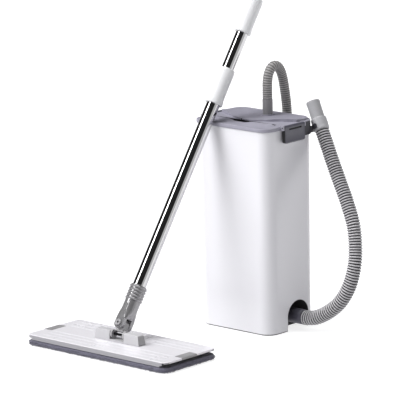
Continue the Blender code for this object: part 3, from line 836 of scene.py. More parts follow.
@dataclass(frozen=True)
class HoseSkin:
    """The skin of a corrugated hose: paler on its ribs, with painted shade in the grooves between them, which
    are also duller.
    """

    name: str
    slot: str
    crest: Point
    groove: Point
    roughness: float = 0.3

    def make(self) -> bpy.types.Material:
        """Builds the material. It reads the hose's own attribute rib, 0 in a groove and 1 on a rib.

        Returns:
            The material.
        """
        made, nodes, shader, place = blank_material(self.name)
        rib = nodes.add("ShaderNodeAttribute", {"attribute_name": "rib"}).outputs["Fac"]
        grain = effect_node(nodes, Effect.GRAIN, Vector=place, Colour=(*self.crest, 1.0), Scale=1600.0,
                            Spread=0.10, Roughness=self.roughness, Rough_Spread=0.2)
        soil = effect_node(nodes, Effect.SOIL, Vector=place, Colour=grain.outputs["Colour"],
                           Roughness=grain.outputs["Roughness"], Dust=0.08, Rub=0.05)
        # Painted shade: the grooves between the ribs are tinted towards the groove colour as shade.
        depth = nodes.remap(rib, 0.25, 0.85, 1.0, 0.0)
        colour = nodes.blend(depth, soil.outputs["Colour"], (*self.groove, 1.0))
        rough = nodes.maths("ADD", soil.outputs["Roughness"], nodes.maths("MULTIPLY", depth, 0.35), clamp=True)
        bump = nodes.add("ShaderNodeBump", Strength=1.0, Distance=0.000006, Height=grain.outputs["Height"])
        nodes.wire(shader, Base_Color=colour, Roughness=rough, Normal=bump.outputs["Normal"])
        return made


@dataclass(frozen=True)
class Microfibre:
    """Microfibre cloth, woven or as loops."""

    name: str
    slot: str
    colour: Point
    fleck: Point
    pitch: float = 0.0016

    def make(self) -> bpy.types.Material:
        """Builds the material.

        Returns:
            The material.
        """
        made, nodes, shader, place = blank_material(self.name)
        weave = nodes.add("ShaderNodeTexVoronoi", {"feature": "F1"}, Vector=place, Scale=1 / self.pitch)
        fibres = nodes.add("ShaderNodeTexNoise", Vector=place, Scale=2400.0, Detail=3.0, Roughness=0.7)
        broad = nodes.add("ShaderNodeTexNoise", Vector=place, Scale=28.0, Detail=3.0)
        mix = nodes.maths("ADD", nodes.maths("MULTIPLY", weave.outputs["Distance"], 0.55),
                          nodes.maths("MULTIPLY", fibres.outputs["Fac"], 0.45))
        tone = nodes.blend(nodes.remap(mix, 0.25, 0.75, 0.0, 1.0), (*self.fleck, 1.0), (*self.colour, 1.0))
        worn = nodes.blend(nodes.remap(broad.outputs["Fac"], 0.4, 0.7, 0.0, 0.35), tone,
                           (self.colour[0] * 0.72, self.colour[1] * 0.72, self.colour[2] * 0.76, 1.0))
        rough = nodes.remap(fibres.outputs["Fac"], 0.3, 0.7, 0.82, 1.0)
        bump = nodes.add("ShaderNodeBump", Strength=0.9, Distance=0.0005, Height=mix)
        nodes.wire(shader, Base_Color=worn, Roughness=rough, Normal=bump.outputs["Normal"],
                   Sheen_Weight=0.35, Sheen_Roughness=0.45, Specular_IOR_Level=0.15)
        return made


Finish = Plastic | Metal | HoseSkin | Microfibre

LEAN_BACK = math.radians(32.525)
POLE_LEAN = (-LEAN_BACK, 0.0, 0.0)
GLOSS_WHITE = Plastic("gloss_white_shell", "gloss_white", (0.735, 0.73, 0.765), roughness=0.2, grain=0.0022,
                      relief=0.000003, spread=0.012, coat=0.25, dust=0.03, glow=0.02)
PLATE_WHITE = Plastic("plate_white", "gloss_white", (0.70, 0.69, 0.725), roughness=0.28, grain=0.0014,
                      relief=0.000005, spread=0.02, coat=0.1, glow=0.05)
COUPLER_WHITE = Plastic("coupler_white", "gloss_white", (0.77, 0.775, 0.79), roughness=0.18, grain=0.002,
                        relief=0.000002, spread=0.012, coat=0.3, dust=0.02, rub=0.04, glow=0.02)
LID_SATIN = Plastic("lid_satin", "lid_grey", (0.295, 0.287, 0.345), roughness=0.42, relief=0.00001, dust=0.06,
                    rub=0.1)
SLATE = Plastic("slate_plastic", "slate", (0.085, 0.083, 0.110), roughness=0.36, spread=0.06, rub=0.12)
LATCH_SLATE = Plastic("latch_slate", "slate", (0.060, 0.058, 0.083), roughness=0.4, spread=0.06, rub=0.12)
CLIP_BLACK = Plastic("clip_black", "slate", (0.022, 0.021, 0.030), roughness=0.45, spread=0.06, dust=0.04)
# Painted shade: a shaded copy of the plate's white, for its side walls.
PLATE_SIDE_SHADE = Plastic("painted_plate_side_shade", "gloss_white", (0.29, 0.285, 0.305), roughness=0.34, grain=0.0014,
                     relief=0.000005, spread=0.02, rub=0.03)
SADDLE_WHITE = Plastic("saddle_white", "gloss_white", (0.50, 0.495, 0.515), roughness=0.32, grain=0.0014,
                       relief=0.000005, spread=0.02, rub=0.03)
# Painted shade: near-black for recesses, gaps and shaded faces where light does not reach.
SHADE_BLACK = Plastic("painted_shade_black", "slate", (0.012, 0.012, 0.014), roughness=0.55, grain=0.0008,
                       dust=0.02, rub=0.0)
JOINT_GREY = Plastic("joint_grey_gloss", "grey_gloss", (0.34, 0.335, 0.345), roughness=0.2, grain=0.0016,
                     relief=0.000004, spread=0.04, coat=0.3, dust=0.04, rub=0.1)
TAB_GREY = Plastic("tab_grey", "grey_gloss", (0.25, 0.245, 0.255), roughness=0.42, grain=0.0007, rub=0.08)
CUFF_GREY = Plastic("cuff_grey", "grey_gloss", (0.23, 0.225, 0.235), roughness=0.32, grain=0.001,
                    relief=0.000006, coat=0.1, rub=0.06)
PALE_COLLAR = Plastic("pale_collar", "pale_grey", (0.40, 0.40, 0.42), roughness=0.3, grain=0.001,
                      relief=0.000006, spread=0.04, coat=0.1, rub=0.06)
NOZZLE_GREY = Plastic("nozzle_grey", "hose_grey", (0.34, 0.34, 0.355), roughness=0.34, grain=0.001,
                      relief=0.000006, rub=0.06)
INNER_WHITE = Plastic("inner_white", "gloss_white", (0.72, 0.73, 0.75), roughness=0.35, grain=0.0012,
                      relief=0.000006, spread=0.02, rub=0.03)
RUBBER = Plastic("dark_rubber", "rubber_dark", (0.030, 0.030, 0.033), roughness=0.68, grain=0.0009,
                 relief=0.000015, spread=0.1, dust=0.1)
CHROME = Metal("chrome_tube", "chrome", (0.72, 0.715, 0.72), roughness=0.035, lines=0.03, relief=0.0000002,
               lean=POLE_LEAN)
PIN_BLACK = Metal("blackened_pin", "steel", (0.03, 0.03, 0.032), roughness=0.35, lines=0.1, relief=0.000001)
JOINT_SHEEN = Metal("joint_sheen", "grey_gloss", (0.36, 0.355, 0.365), roughness=0.2, lines=0.04,
                    lean=POLE_LEAN, share=0.62)
STEEL = Metal("steel_pin", "steel", (0.58, 0.58, 0.59), roughness=0.22, lines=0.12, relief=0.000001)
# The hose skins' second colours are painted shade for the grooves between the ribs.
DRAIN_SKIN = HoseSkin("drain_hose_skin", "hose_grey", (0.50, 0.49, 0.51), (0.006, 0.006, 0.008), 0.22)
FILL_SKIN = HoseSkin("fill_hose_skin", "hose_grey", (0.36, 0.35, 0.35), (0.13, 0.125, 0.125), 0.40)
PAD_CLOTH = Microfibre("pad_cloth", "microfibre", (0.165, 0.16, 0.205), (0.07, 0.068, 0.095), 0.0014)
PAD_PILE = Microfibre("pad_pile", "microfibre", (0.140, 0.135, 0.176), (0.062, 0.060, 0.084), 0.0009)


def finish_of(finish: Finish) -> bpy.types.Material:
    """The material of a finish, built on first use."""
    return bpy.data.materials.get(finish.name) or finish.make()


# ------------------------------------------------------------ sub-assemblies


@dataclass
class SubAssembly:
    """A part of the object that is built and dressed together."""

    pieces: list[bpy.types.Object] = field(default_factory=list, init=False)

    def place(self, piece: bpy.types.Object, body: Body, finish: Finish, *nodes: str) -> bpy.types.Object:
        """Dresses a finished piece and fixes it to its body.

        Args:
            piece: The finished piece.
            body: The body that it moves with.
            finish: Its finish.
            *nodes: The frame's nodes that it stands for.

        Returns:
            The same piece.
        """
        if not piece.data.materials:
            piece.data.materials.append(finish_of(finish))
        elif piece.data.materials[0] is None:
            piece.data.materials[0] = finish_of(finish)
        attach(piece, body.value)
        if nodes:
            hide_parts(*nodes)
        self.pieces.append(piece)
        return piece

    def dress_node(self, name: str, finish: Finish) -> None:
        """Gives a node of the frame that stays in view a finish.

        Args:
            name: The node's name.
            finish: Its finish.
        """
        node = frame["nodes"][name]
        node.data.materials.clear()
        node.data.materials.append(finish_of(finish))
        self.pieces.append(node)

    def report(self) -> None:
        """Logs the pieces."""
        for piece in self.pieces:
            log.info("%s: %s, %d faces", type(self).__name__, piece.name, len(piece.data.polygons))


@dataclass
class Studio:
    """The floor, the light and the camera."""

    eye: Point = (4.4590, -4.9459, 1.7122)
    right: Point = (0.73737, 0.67502, -0.02506)
    up: Point = (-0.12927, 0.17744, 0.97560)
    ahead: Point = (-0.66300, 0.71614, -0.21810)
    lens: float = 316.7
    reach: float = 40.0

    def build(self) -> None:
        """Builds all of it."""
        self.camera()
        self.floor()
        self.world()
        self.sun("key_light", (-0.42, -0.62, 0.62), 3.30, 44.0, False)
        self.sun("stripe_light", (-0.375, -0.66, 0.62), 0.45, 17.0)
        self.sun("top_light", (0.05, 0.05, 1.0), 1.95, 56.0)
        self.sun("back_light", (0.49, 0.85, 0.20), 0.35, 30.0)

    def camera(self) -> None:
        """Makes the camera."""
        data = bpy.data.cameras.new("camera")
        data.lens = self.lens
        data.sensor_width = 36.0
        data.clip_start, data.clip_end = 0.1, 200.0
        made = bpy.data.objects.new("camera", data)
        bpy.context.scene.collection.objects.link(made)
        turn = Matrix((self.right, self.up, [-part for part in self.ahead])).transposed().to_4x4()
        made.matrix_world = Matrix.Translation(self.eye) @ turn
        bpy.context.scene.camera = made

    def floor(self) -> None:
        """Makes the pale floor."""
        far = self.reach
        made = Blank.solid("floor", [(-far, -far, -0.0004), (far, -far, -0.0004), (far, far, -0.0004),
                                     (-far, far, -0.0004)], [(0, 1, 2, 3)]).obj
        if made.data.polygons[0].normal.z < 0:
            made.data.flip_normals()
        material, nodes, shader, place = blank_material("pale_floor")
        cloud = nodes.add("ShaderNodeTexNoise", Vector=place, Scale=2.0, Detail=2.0)
        tone = nodes.blend(cloud.outputs["Fac"], (0.36, 0.36, 0.37, 1.0), (0.38, 0.38, 0.39, 1.0))
        seen = nodes.add("ShaderNodeLightPath").outputs["Is Camera Ray"]
        nodes.wire(shader, Base_Color=tone, Roughness=0.9, Specular_IOR_Level=0.1,
                   Emission_Color=(1.0, 1.0, 1.0, 1.0),
                   Emission_Strength=nodes.remap(seen, 0.0, 1.0, 0.52, 0.80))
        made.data.materials.append(material)

    def world(self) -> None:
        """A dark studio with one soft panel at the right, in front of white where the camera looks out."""
        world = bpy.data.worlds.new("studio")
        world.use_nodes = True
        bpy.context.scene.world = world
        bpy.context.scene.view_settings.view_transform = "Standard"
        nodes = Nodes(world.node_tree)
        back = world.node_tree.nodes["Background"]
        way = nodes.add("ShaderNodeTexCoord").outputs["Generated"]
        panel = nodes.vector("DOT_PRODUCT", way, (0.982, 0.10, 0.16)).outputs["Value"]
        lit = nodes.remap(panel, 0.93, 0.965, 0.0, 0.55)
        height = nodes.add("ShaderNodeSeparateXYZ", Vector=way).outputs["Z"]
        haze = nodes.remap(height, -0.05, 0.03, 0.9, 0.022)
        seen = nodes.add("ShaderNodeLightPath").outputs["Is Camera Ray"]
        shade = nodes.maths("MAXIMUM", lit, haze)
        nodes.wire(back, Color=(1.0, 1.0, 1.0, 1.0), Strength=nodes.maths("MAXIMUM", shade, seen))

    def sun(self, name: str, towards: Point, strength: float, spread: float, mirrored: bool = True) -> None:
        """Makes one wide soft light far away.

        Args:
            name: Its name.
            towards: The direction from the object to the light.
            strength: Its strength.
            spread: How wide it looks, in degrees.
            mirrored: Whether shiny surfaces mirror it.
        """
        data = bpy.data.lights.new(name, "SUN")
        data.energy = strength
        data.angle = math.radians(spread)
        made = bpy.data.objects.new(name, data)
        made.matrix_world = facing(towards, (0, 0, 3))
        made.visible_glossy = mirrored
        bpy.context.scene.collection.objects.link(made)


class TreeSockets:
    """A Geometry Nodes tree with named inputs, and a way to set them on a modifier."""

    def __init__(self, name: str, inputs: Sequence[tuple[str, str]]) -> None:
        """Makes the tree's sockets.

        Args:
            name: The tree's name.
            inputs: Name and kind of each input after the geometry.
        """
        self.tree = bpy.data.node_groups.new(name, "GeometryNodeTree")
        self.tree.is_modifier = True
        face = self.tree.interface
        face.new_socket("Geometry", in_out="INPUT", socket_type="NodeSocketGeometry")
        self.ids = {label: face.new_socket(label, in_out="INPUT", socket_type=f"NodeSocket{kind}").identifier
                    for label, kind in inputs}
        face.new_socket("Geometry", in_out="OUTPUT", socket_type="NodeSocketGeometry")
        self.nodes = Nodes(self.tree)
        self.given = self.tree.nodes.new("NodeGroupInput").outputs

    def close(self, geometry: bpy.types.NodeSocket) -> None:
        """Ends the tree in Realize Instances and Set Material.

        Args:
            geometry: What the tree has made.
        """
        whole = self.nodes.add("GeometryNodeRealizeInstances", Geometry=geometry)
        smooth = self.nodes.add("GeometryNodeSetShadeSmooth", Geometry=whole.outputs[0])
        dressed = self.nodes.add("GeometryNodeSetMaterial", Geometry=smooth.outputs[0],
                                 Material=self.given["Material"])
        out = self.tree.nodes.new("NodeGroupOutput")
        self.nodes.feed(out.inputs[0], dressed.outputs[0])

    def apply(self, obj: bpy.types.Object, **values: object) -> bpy.types.Object:
        """Runs the tree on an object and keeps the result as its plain mesh.

        Args:
            obj: The object.
            **values: The inputs by name, underscores for spaces.

        Returns:
            The same object.
        """
        step = obj.modifiers.new(self.tree.name, "NODES")
        step.node_group = self.tree
        for name, value in values.items():
            step[self.ids[name.replace("_", " ")]] = value
        return baked(obj)


def polyline(name: str, points: Sequence[Vector]) -> bpy.types.Object:
    """A mesh of edges along points, for a tree to build on.

    Args:
        name: The mesh's name.
        points: The points in order.

    Returns:
        The object.
    """
    mesh = bpy.data.meshes.new(name)
    mesh.from_pydata([tuple(point) for point in points], [(k, k + 1) for k in range(len(points) - 1)], [])
    return new_object(name, mesh)


def hose_tree() -> TreeSockets:
    """The tree that makes a corrugated hose round a line.

    Returns:
        The tree with its sockets.
    """
    made = TreeSockets("corrugated_hose", [("Radius", "Float"), ("Pitch", "Float"), ("Depth", "Float"),
                                           ("Crest", "Float"), ("Around", "Int"), ("Material", "Material")])
    nodes, given = made.nodes, made.given
    line = nodes.add("GeometryNodeMeshToCurve", Mesh=given["Geometry"])
    step = nodes.maths("DIVIDE", given["Pitch"], 8.0)
    even = nodes.tree.nodes.new("GeometryNodeResampleCurve")
    try:
        even.mode = "LENGTH"
    except (AttributeError, TypeError):
        # Newer versions keep the mode in a socket.
        even.inputs["Mode"].default_value = "Length"
    nodes.wire(even, Curve=line.outputs[0], Length=step)
    keep = nodes.tree.nodes.new("GeometryNodeCaptureAttribute")
    keep.capture_items.new("FLOAT", "Along")
    keep.capture_items.new("VECTOR", "Centre")
    nodes.feed(keep.inputs[0], even.outputs[0])
    nodes.feed(keep.inputs[1], nodes.add("GeometryNodeSplineParameter").outputs["Length"])
    nodes.feed(keep.inputs[2], nodes.add("GeometryNodeInputPosition").outputs[0])
    round_ = nodes.add("GeometryNodeCurvePrimitiveCircle", Resolution=given["Around"], Radius=given["Radius"])
    tube = nodes.add("GeometryNodeCurveToMesh", Curve=keep.outputs[0], Profile_Curve=round_.outputs[0])
    tube.inputs["Fill Caps"].default_value = True
    phase = nodes.maths("FRACT", nodes.maths("DIVIDE", keep.outputs[1], given["Pitch"]))
    wave = nodes.maths("POWER", nodes.maths("SINE", nodes.maths("MULTIPLY", phase, math.pi)), given["Crest"])
    inset = nodes.maths("DIVIDE", nodes.maths("MULTIPLY", nodes.maths("SUBTRACT", 1.0, wave), given["Depth"]),
                        given["Radius"])
    share = nodes.maths("SUBTRACT", 1.0, inset)
    here = nodes.add("GeometryNodeInputPosition").outputs[0]
    out = nodes.vector("SUBTRACT", here, keep.outputs[2]).outputs[0]
    scaled = nodes.wire(nodes.vector("SCALE", out), Scale=share)
    moved = nodes.vector("ADD", keep.outputs[2], scaled.outputs[0]).outputs[0]
    shaped = nodes.add("GeometryNodeSetPosition", Geometry=tube.outputs[0], Position=moved)
    named = nodes.add("GeometryNodeStoreNamedAttribute", {"data_type": "FLOAT", "domain": "POINT"},
                      Geometry=shaped.outputs[0], Name="rib", Value=wave)
    made.close(named.outputs[0])
    return made


def pile_tree() -> TreeSockets:
    """The tree that sets small loops of yarn on a pad's sides and underside.

    Returns:
        The tree with its sockets.
    """
    made = TreeSockets("loop_pile", [("Spacing", "Float"), ("Loop Width", "Float"), ("Loop Height", "Float"),
                                     ("Yarn", "Float"), ("Floor", "Float"), ("Seed", "Int"),
                                     ("Material", "Material")])
    nodes, given = made.nodes, made.given
    normal = nodes.add("GeometryNodeInputNormal").outputs[0]
    up = nodes.add("ShaderNodeSeparateXYZ", Vector=normal).outputs["Z"]
    low = nodes.add("FunctionNodeCompare", {"data_type": "FLOAT", "operation": "LESS_THAN"})
    nodes.feed(low.inputs[0], up)
    nodes.feed(low.inputs[1], 0.30)
    spots = nodes.add("GeometryNodeDistributePointsOnFaces", {"distribute_method": "POISSON"},
                      Mesh=given["Geometry"], Selection=low.outputs[0], Distance_Min=given["Spacing"],
                      Density_Max=260000.0, Seed=given["Seed"])
    half = nodes.maths("MULTIPLY", given["Loop Width"], 0.5)
    start = nodes.add("ShaderNodeCombineXYZ", X=nodes.maths("MULTIPLY", half, -1.0), Z=-0.0004).outputs[0]
    top = nodes.add("ShaderNodeCombineXYZ", Z=nodes.maths("MULTIPLY", given["Loop Height"], 2.0)).outputs[0]
    end = nodes.add("ShaderNodeCombineXYZ", X=half, Z=-0.0004).outputs[0]
    bow = nodes.add("GeometryNodeCurveQuadraticBezier", Resolution=5, Start=start, Middle=top, End=end)
    yarn = nodes.add("GeometryNodeCurvePrimitiveCircle", Resolution=4, Radius=given["Yarn"])
    loop = nodes.add("GeometryNodeCurveToMesh", Curve=bow.outputs[0], Profile_Curve=yarn.outputs[0])
    loop.inputs["Fill Caps"].default_value = True
    turn = nodes.add("FunctionNodeRandomValue", {"data_type": "FLOAT"}, Seed=given["Seed"])
    nodes.feed(turn.inputs[2], 0.0)
    nodes.feed(turn.inputs[3], 2 * math.pi)
    about = nodes.add("ShaderNodeCombineXYZ", Z=turn.outputs[1]).outputs[0]
    spin = nodes.add("FunctionNodeRotateRotation", {"rotation_space": "LOCAL"},
                     Rotation=spots.outputs["Rotation"], Rotate_By=about)
    size = nodes.add("FunctionNodeRandomValue", {"data_type": "FLOAT"},
                     Seed=nodes.maths("ADD", given["Seed"], 3.0))
    nodes.feed(size.inputs[2], 0.80)
    nodes.feed(size.inputs[3], 1.20)
    stuck = nodes.add("GeometryNodeInstanceOnPoints", Points=spots.outputs[0], Instance=loop.outputs[0],
                      Rotation=spin.outputs[0], Scale=size.outputs[1])
    real = nodes.add("GeometryNodeRealizeInstances", Geometry=stuck.outputs[0])
    here = nodes.add("ShaderNodeSeparateXYZ", Vector=nodes.add("GeometryNodeInputPosition").outputs[0]).outputs
    pressed = nodes.add("ShaderNodeCombineXYZ", X=here["X"], Y=here["Y"],
                        Z=nodes.maths("MAXIMUM", here["Z"], given["Floor"])).outputs[0]
    flat = nodes.add("GeometryNodeSetPosition", Geometry=real.outputs[0], Position=pressed)
    made.close(flat.outputs[0])
    return made


@dataclass
class Hoses(SubAssembly):
    """The drain hose with its cuff, collar, nozzle and clip, and the thinner fill hose with its fittings."""

    recess_y: float = RECESS_Y
    drain_z: float = DRAIN_Z
    drain_radius: float = 0.01375
    drain_pitch: float = 0.0050
    drain_depth: float = 0.0028
    drain_route: tuple[Point, ...] = (
        (0.1048, 0.0147, 0.0250), (0.1160, 0.0147, 0.0252), (0.1345, 0.0160, 0.0290), (0.1600, 0.0190, 0.0425),
        (0.1845, 0.0225, 0.0635), (0.2020, 0.0268, 0.0915), (0.2110, 0.0315, 0.1240), (0.2115, 0.0375, 0.1590),
        (0.2015, 0.0455, 0.2050), (0.1790, 0.0535, 0.2480), (0.1575, 0.0597, 0.2815), (0.1380, 0.0652, 0.3120),
        (0.1205, 0.0705, 0.3405), (0.1030, 0.0757, 0.3690))
    nozzle_end: Point = (0.0727, 0.0855, 0.4182)
    clip_start: float = 0.0330
    claw_turn: float = -50.0
    fill_radius: float = 0.0093
    fill_pitch: float = 0.0042
    fill_depth: float = 0.0007
    crest: float = 1.35
    socket: Pair = SOCKET
    fill_route: tuple[Point, ...] = (
        (0.0105, 0.0293, 0.4265), (0.0107, 0.0293, 0.4420), (0.0110, 0.0296, 0.4575), (0.0112, 0.0332, 0.4725),
        (0.0113, 0.0425, 0.4835), (0.0115, 0.0545, 0.4845), (0.0115, 0.0645, 0.4760), (0.0117, 0.0715, 0.4600),
        (0.0120, 0.0765, 0.4350), (0.0120, 0.0805, 0.4080), (0.0118, 0.0825, 0.3800), (0.0135, 0.0828, 0.3400),
        (0.0175, 0.0825, 0.2900), (0.0225, 0.0822, 0.2350), (0.0280, 0.0820, 0.1800), (0.0320, 0.0820, 0.1280),
        (0.0310, 0.0820, 0.0900), (0.0215, 0.0820, 0.0560), (0.0050, 0.0820, 0.0310), (-0.0160, 0.0820, 0.0170),
        (-0.0360, 0.0820, 0.0132), (-0.0500, 0.0820, 0.0128))

    def build(self) -> None:
        """Builds and dresses both hoses."""
        tree = hose_tree()
        self.build_drain(tree)
        self.build_fill(tree)
        self.build_clip()

    def corrugate(self, tree: TreeSockets, name: str, path: Sequence[Vector], radius: float, pitch: float,
                  depth: float, skin: HoseSkin) -> bpy.types.Object:
        """One corrugated hose.

        Args:
            tree: The tree that makes it.
            name: Its name.
            path: Its centre line.
            radius: Its radius over the ribs.
            pitch: From rib to rib.
            depth: How deep the grooves are.
            skin: Its finish.

        Returns:
            The finished piece.
        """
        return tree.apply(polyline(name, path), Radius=radius, Pitch=pitch, Depth=depth, Crest=self.crest,
                          Around=36, Material=finish_of(skin))

    def nozzle_frame(self) -> tuple[Matrix, float]:
        """The frame at the drain hose's top, and how far it is to the nozzle's end.

        Returns:
            The frame and the distance.
        """
        start = Vector(self.drain_route[-1])
        rise = Vector(self.nozzle_end) - start
        return facing(rise, start), rise.length

    def build_drain(self, tree: TreeSockets) -> None:
        """The drain hose, its cuff at the outlet and its collar and nozzle at the top.

        Args:
            tree: The tree that makes a corrugated hose.
        """
        path = smooth_route(self.drain_route, 0.0020)
        hose = self.corrugate(tree, "drain_hose_ribbed", path, self.drain_radius, self.drain_pitch,
                              self.drain_depth, DRAIN_SKIN)
        self.place(hose, Body.TUB, DRAIN_SKIN, "drain_hose")
        out = along_x(0.0, self.recess_y, self.drain_z)
        cuff = Blank.turned("drain_cuff_moulded", [
            (0.0125, 0.0650), (0.0142, 0.0680), (0.0142, 0.0800), (0.0136, 0.0806), (0.0136, 0.0822),
            (0.0142, 0.0828), (0.0142, 0.0985), (0.0137, 0.0990), (0.0137, 0.1000), (0.0141, 0.1005),
            (0.0132, 0.1040), (0.0090, 0.1040), (0.0090, 0.0806), (0.0103, 0.0806), (0.0103, 0.0650)],
            out, 56, True)
        self.place(cuff.settle(0.0003, 2), Body.TUB, SLATE, "drain_cuff")
        up, long = self.nozzle_frame()
        collar = Blank.turned("drain_collar_moulded", [
            (0.0138, 0.0003), (0.0150, 0.0020), (0.0150, 0.0070), (0.0146, 0.0076), (0.0146, 0.0088),
            (0.0150, 0.0094), (0.0150, 0.0215), (0.0147, 0.0228), (0.0138, 0.0243), (0.0105, 0.0243),
            (0.0105, 0.0003)], up, 56, True)
        collar = self.place(collar.settle(0.0004, 2), Body.TUB, PALE_COLLAR, "drain_collar")
        nozzle = Blank.turned("drain_nozzle_moulded", [
            (0.0129, 0.0246), (0.0126, 0.0270), (0.0128, long - 0.0060), (0.0131, long - 0.0050),
            (0.0131, long - 0.0012), (0.0124, long), (0.0108, long), (0.0105, long - 0.0020), (0.0105, 0.0246)],
            up, 56, True)
        nozzle = self.place(nozzle.settle(0.0003, 2), Body.TUB, NOZZLE_GREY, "drain_nozzle")
        for name, finish in (("drain_spigot", SLATE), ("drain_nut", SLATE), ("drain_washer", RUBBER)):
            self.dress_node(name, finish)

    def build_fill(self, tree: TreeSockets) -> None:
        """The fill hose, its cuff in the lid's socket and its tap fitting.

        Args:
            tree: The tree that makes a corrugated hose.
        """
        path = smooth_route(self.fill_route, 0.0020)
        hose = self.corrugate(tree, "fill_hose_ribbed", path, self.fill_radius, self.fill_pitch,
                              self.fill_depth, FILL_SKIN)
        self.place(hose, Body.LID, FILL_SKIN, "fill_hose")
        here = Matrix.Translation((*self.socket, 0))
        cuff = Blank.turned("fill_cuff_moulded", [
            (0.0094, 0.3840), (0.0096, 0.3850), (0.0096, 0.4010), (0.0093, 0.4014), (0.0093, 0.4024),
            (0.0096, 0.4028), (0.0096, 0.4245), (0.0088, 0.4262), (0.0070, 0.4262), (0.0070, 0.3840)],
            here, 48, True)
        self.place(cuff.settle(0.0003, 2), Body.LID, CUFF_GREY, "fill_cuff")
        end = Vector(self.fill_route[-1]) + Vector((-0.0004, 0, 0))
        profile = [(0.0098, 0.0), (0.0098, 0.0180), (0.0118, 0.0200)]
        profile += [(0.0118 - 0.0005 * (k % 2), 0.0210 + 0.0012 * k) for k in range(15)]
        profile += [(0.0118, 0.0400), (0.0116, 0.0420), (0.0090, 0.0420), (0.0090, 0.0240), (0.0070, 0.0240),
                    (0.0070, 0.0)]
        tap = Blank.turned("tap_fitting_knurled", profile, facing((-1, 0, 0), end), 48, True).settle()
        tap = self.place(tap, Body.LID, SLATE, "tap_fitting")

    def corner_band(self, corner: Vector, radius: float, inner: float, outer: float, last: float) -> list[Pair]:
        """A band round the tub's back right corner, seen from above.

        Args:
            corner: The middle of the tub's corner.
            radius: The tub's corner radius.
            inner: How far the band starts from the wall.
            outer: How far it ends from the wall.
            last: The angle where the band ends.

        Returns:
            The outline.
        """
        outline: list[Pair] = []
        for off, order in ((inner, 1), (outer, -1)):
            reach = radius + off
            side = [(corner.x + reach, self.clip_start)]
            for k in range(17):
                turn = math.radians(last * k / 16)
                side.append((corner.x + reach * math.cos(turn), corner.y + reach * math.sin(turn)))
            outline += side[::order]
        return outline

    def build_clip(self) -> None:
        """The clip that holds the drain hose's collar at the tub's back right corner."""
        up, _ = self.nozzle_frame()
        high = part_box("bucket_shell")[1]
        radius = TUB_CORNER
        corner = Vector((high.x - radius, high.y - radius, 0.0))
        clip = Blank.prism("hose_clip_moulded",
                           self.corner_band(corner, radius, 0.0004, 0.0035, 72.0), 0.3655, 0.3770)
        clip.join(
            Blank.prism("clip_block", self.corner_band(corner, radius, 0.0008, 0.0052, 15.0), 0.3715, 0.3845),
            Blank.prism("clip_rim", self.corner_band(corner, radius, 0.0032, 0.0056, 16.0), 0.3720, 0.3905))
        claw = []
        for reach, order in ((0.0180, 1), (0.0154, -1)):
            turns = [math.radians(self.claw_turn + k * 4) for k in range(-25, 26)][::order]
            claw += [(reach * math.cos(turn), reach * math.sin(turn)) for turn in turns]
        centre = up @ Vector((0, 0, 0.0085))
        rise = up.to_3x3() @ Vector((0, 0, 1))
        away = Vector((corner.x - centre.x, corner.y - centre.y, 0.0)).normalized()
        ring_frame = facing(rise, centre, rise.cross(away))
        inner = ring_frame.to_3x3().inverted() @ away
        spin = Matrix.Rotation(math.atan2(inner.y, inner.x), 4, "Z")
        reach = (Vector((centre.x, centre.y, 0)) - corner).length
        arm_frame = Matrix.Translation(corner) @ Matrix.Rotation(math.atan2(-away.y, -away.x), 4, "Z")
        arm = Blank.block("clip_arm", (radius + 0.0030, -0.0060, 0.3665), (reach - 0.0158, 0.0060, 0.3765),
                          arm_frame)
        clip.join(arm, Blank.prism("clip_claw", claw, -0.0040, 0.0040, Axis.Z, ring_frame @ spin))
        self.place(clip.settle(0.0005, 2), Body.TUB, CLIP_BLACK, "hose_clip")


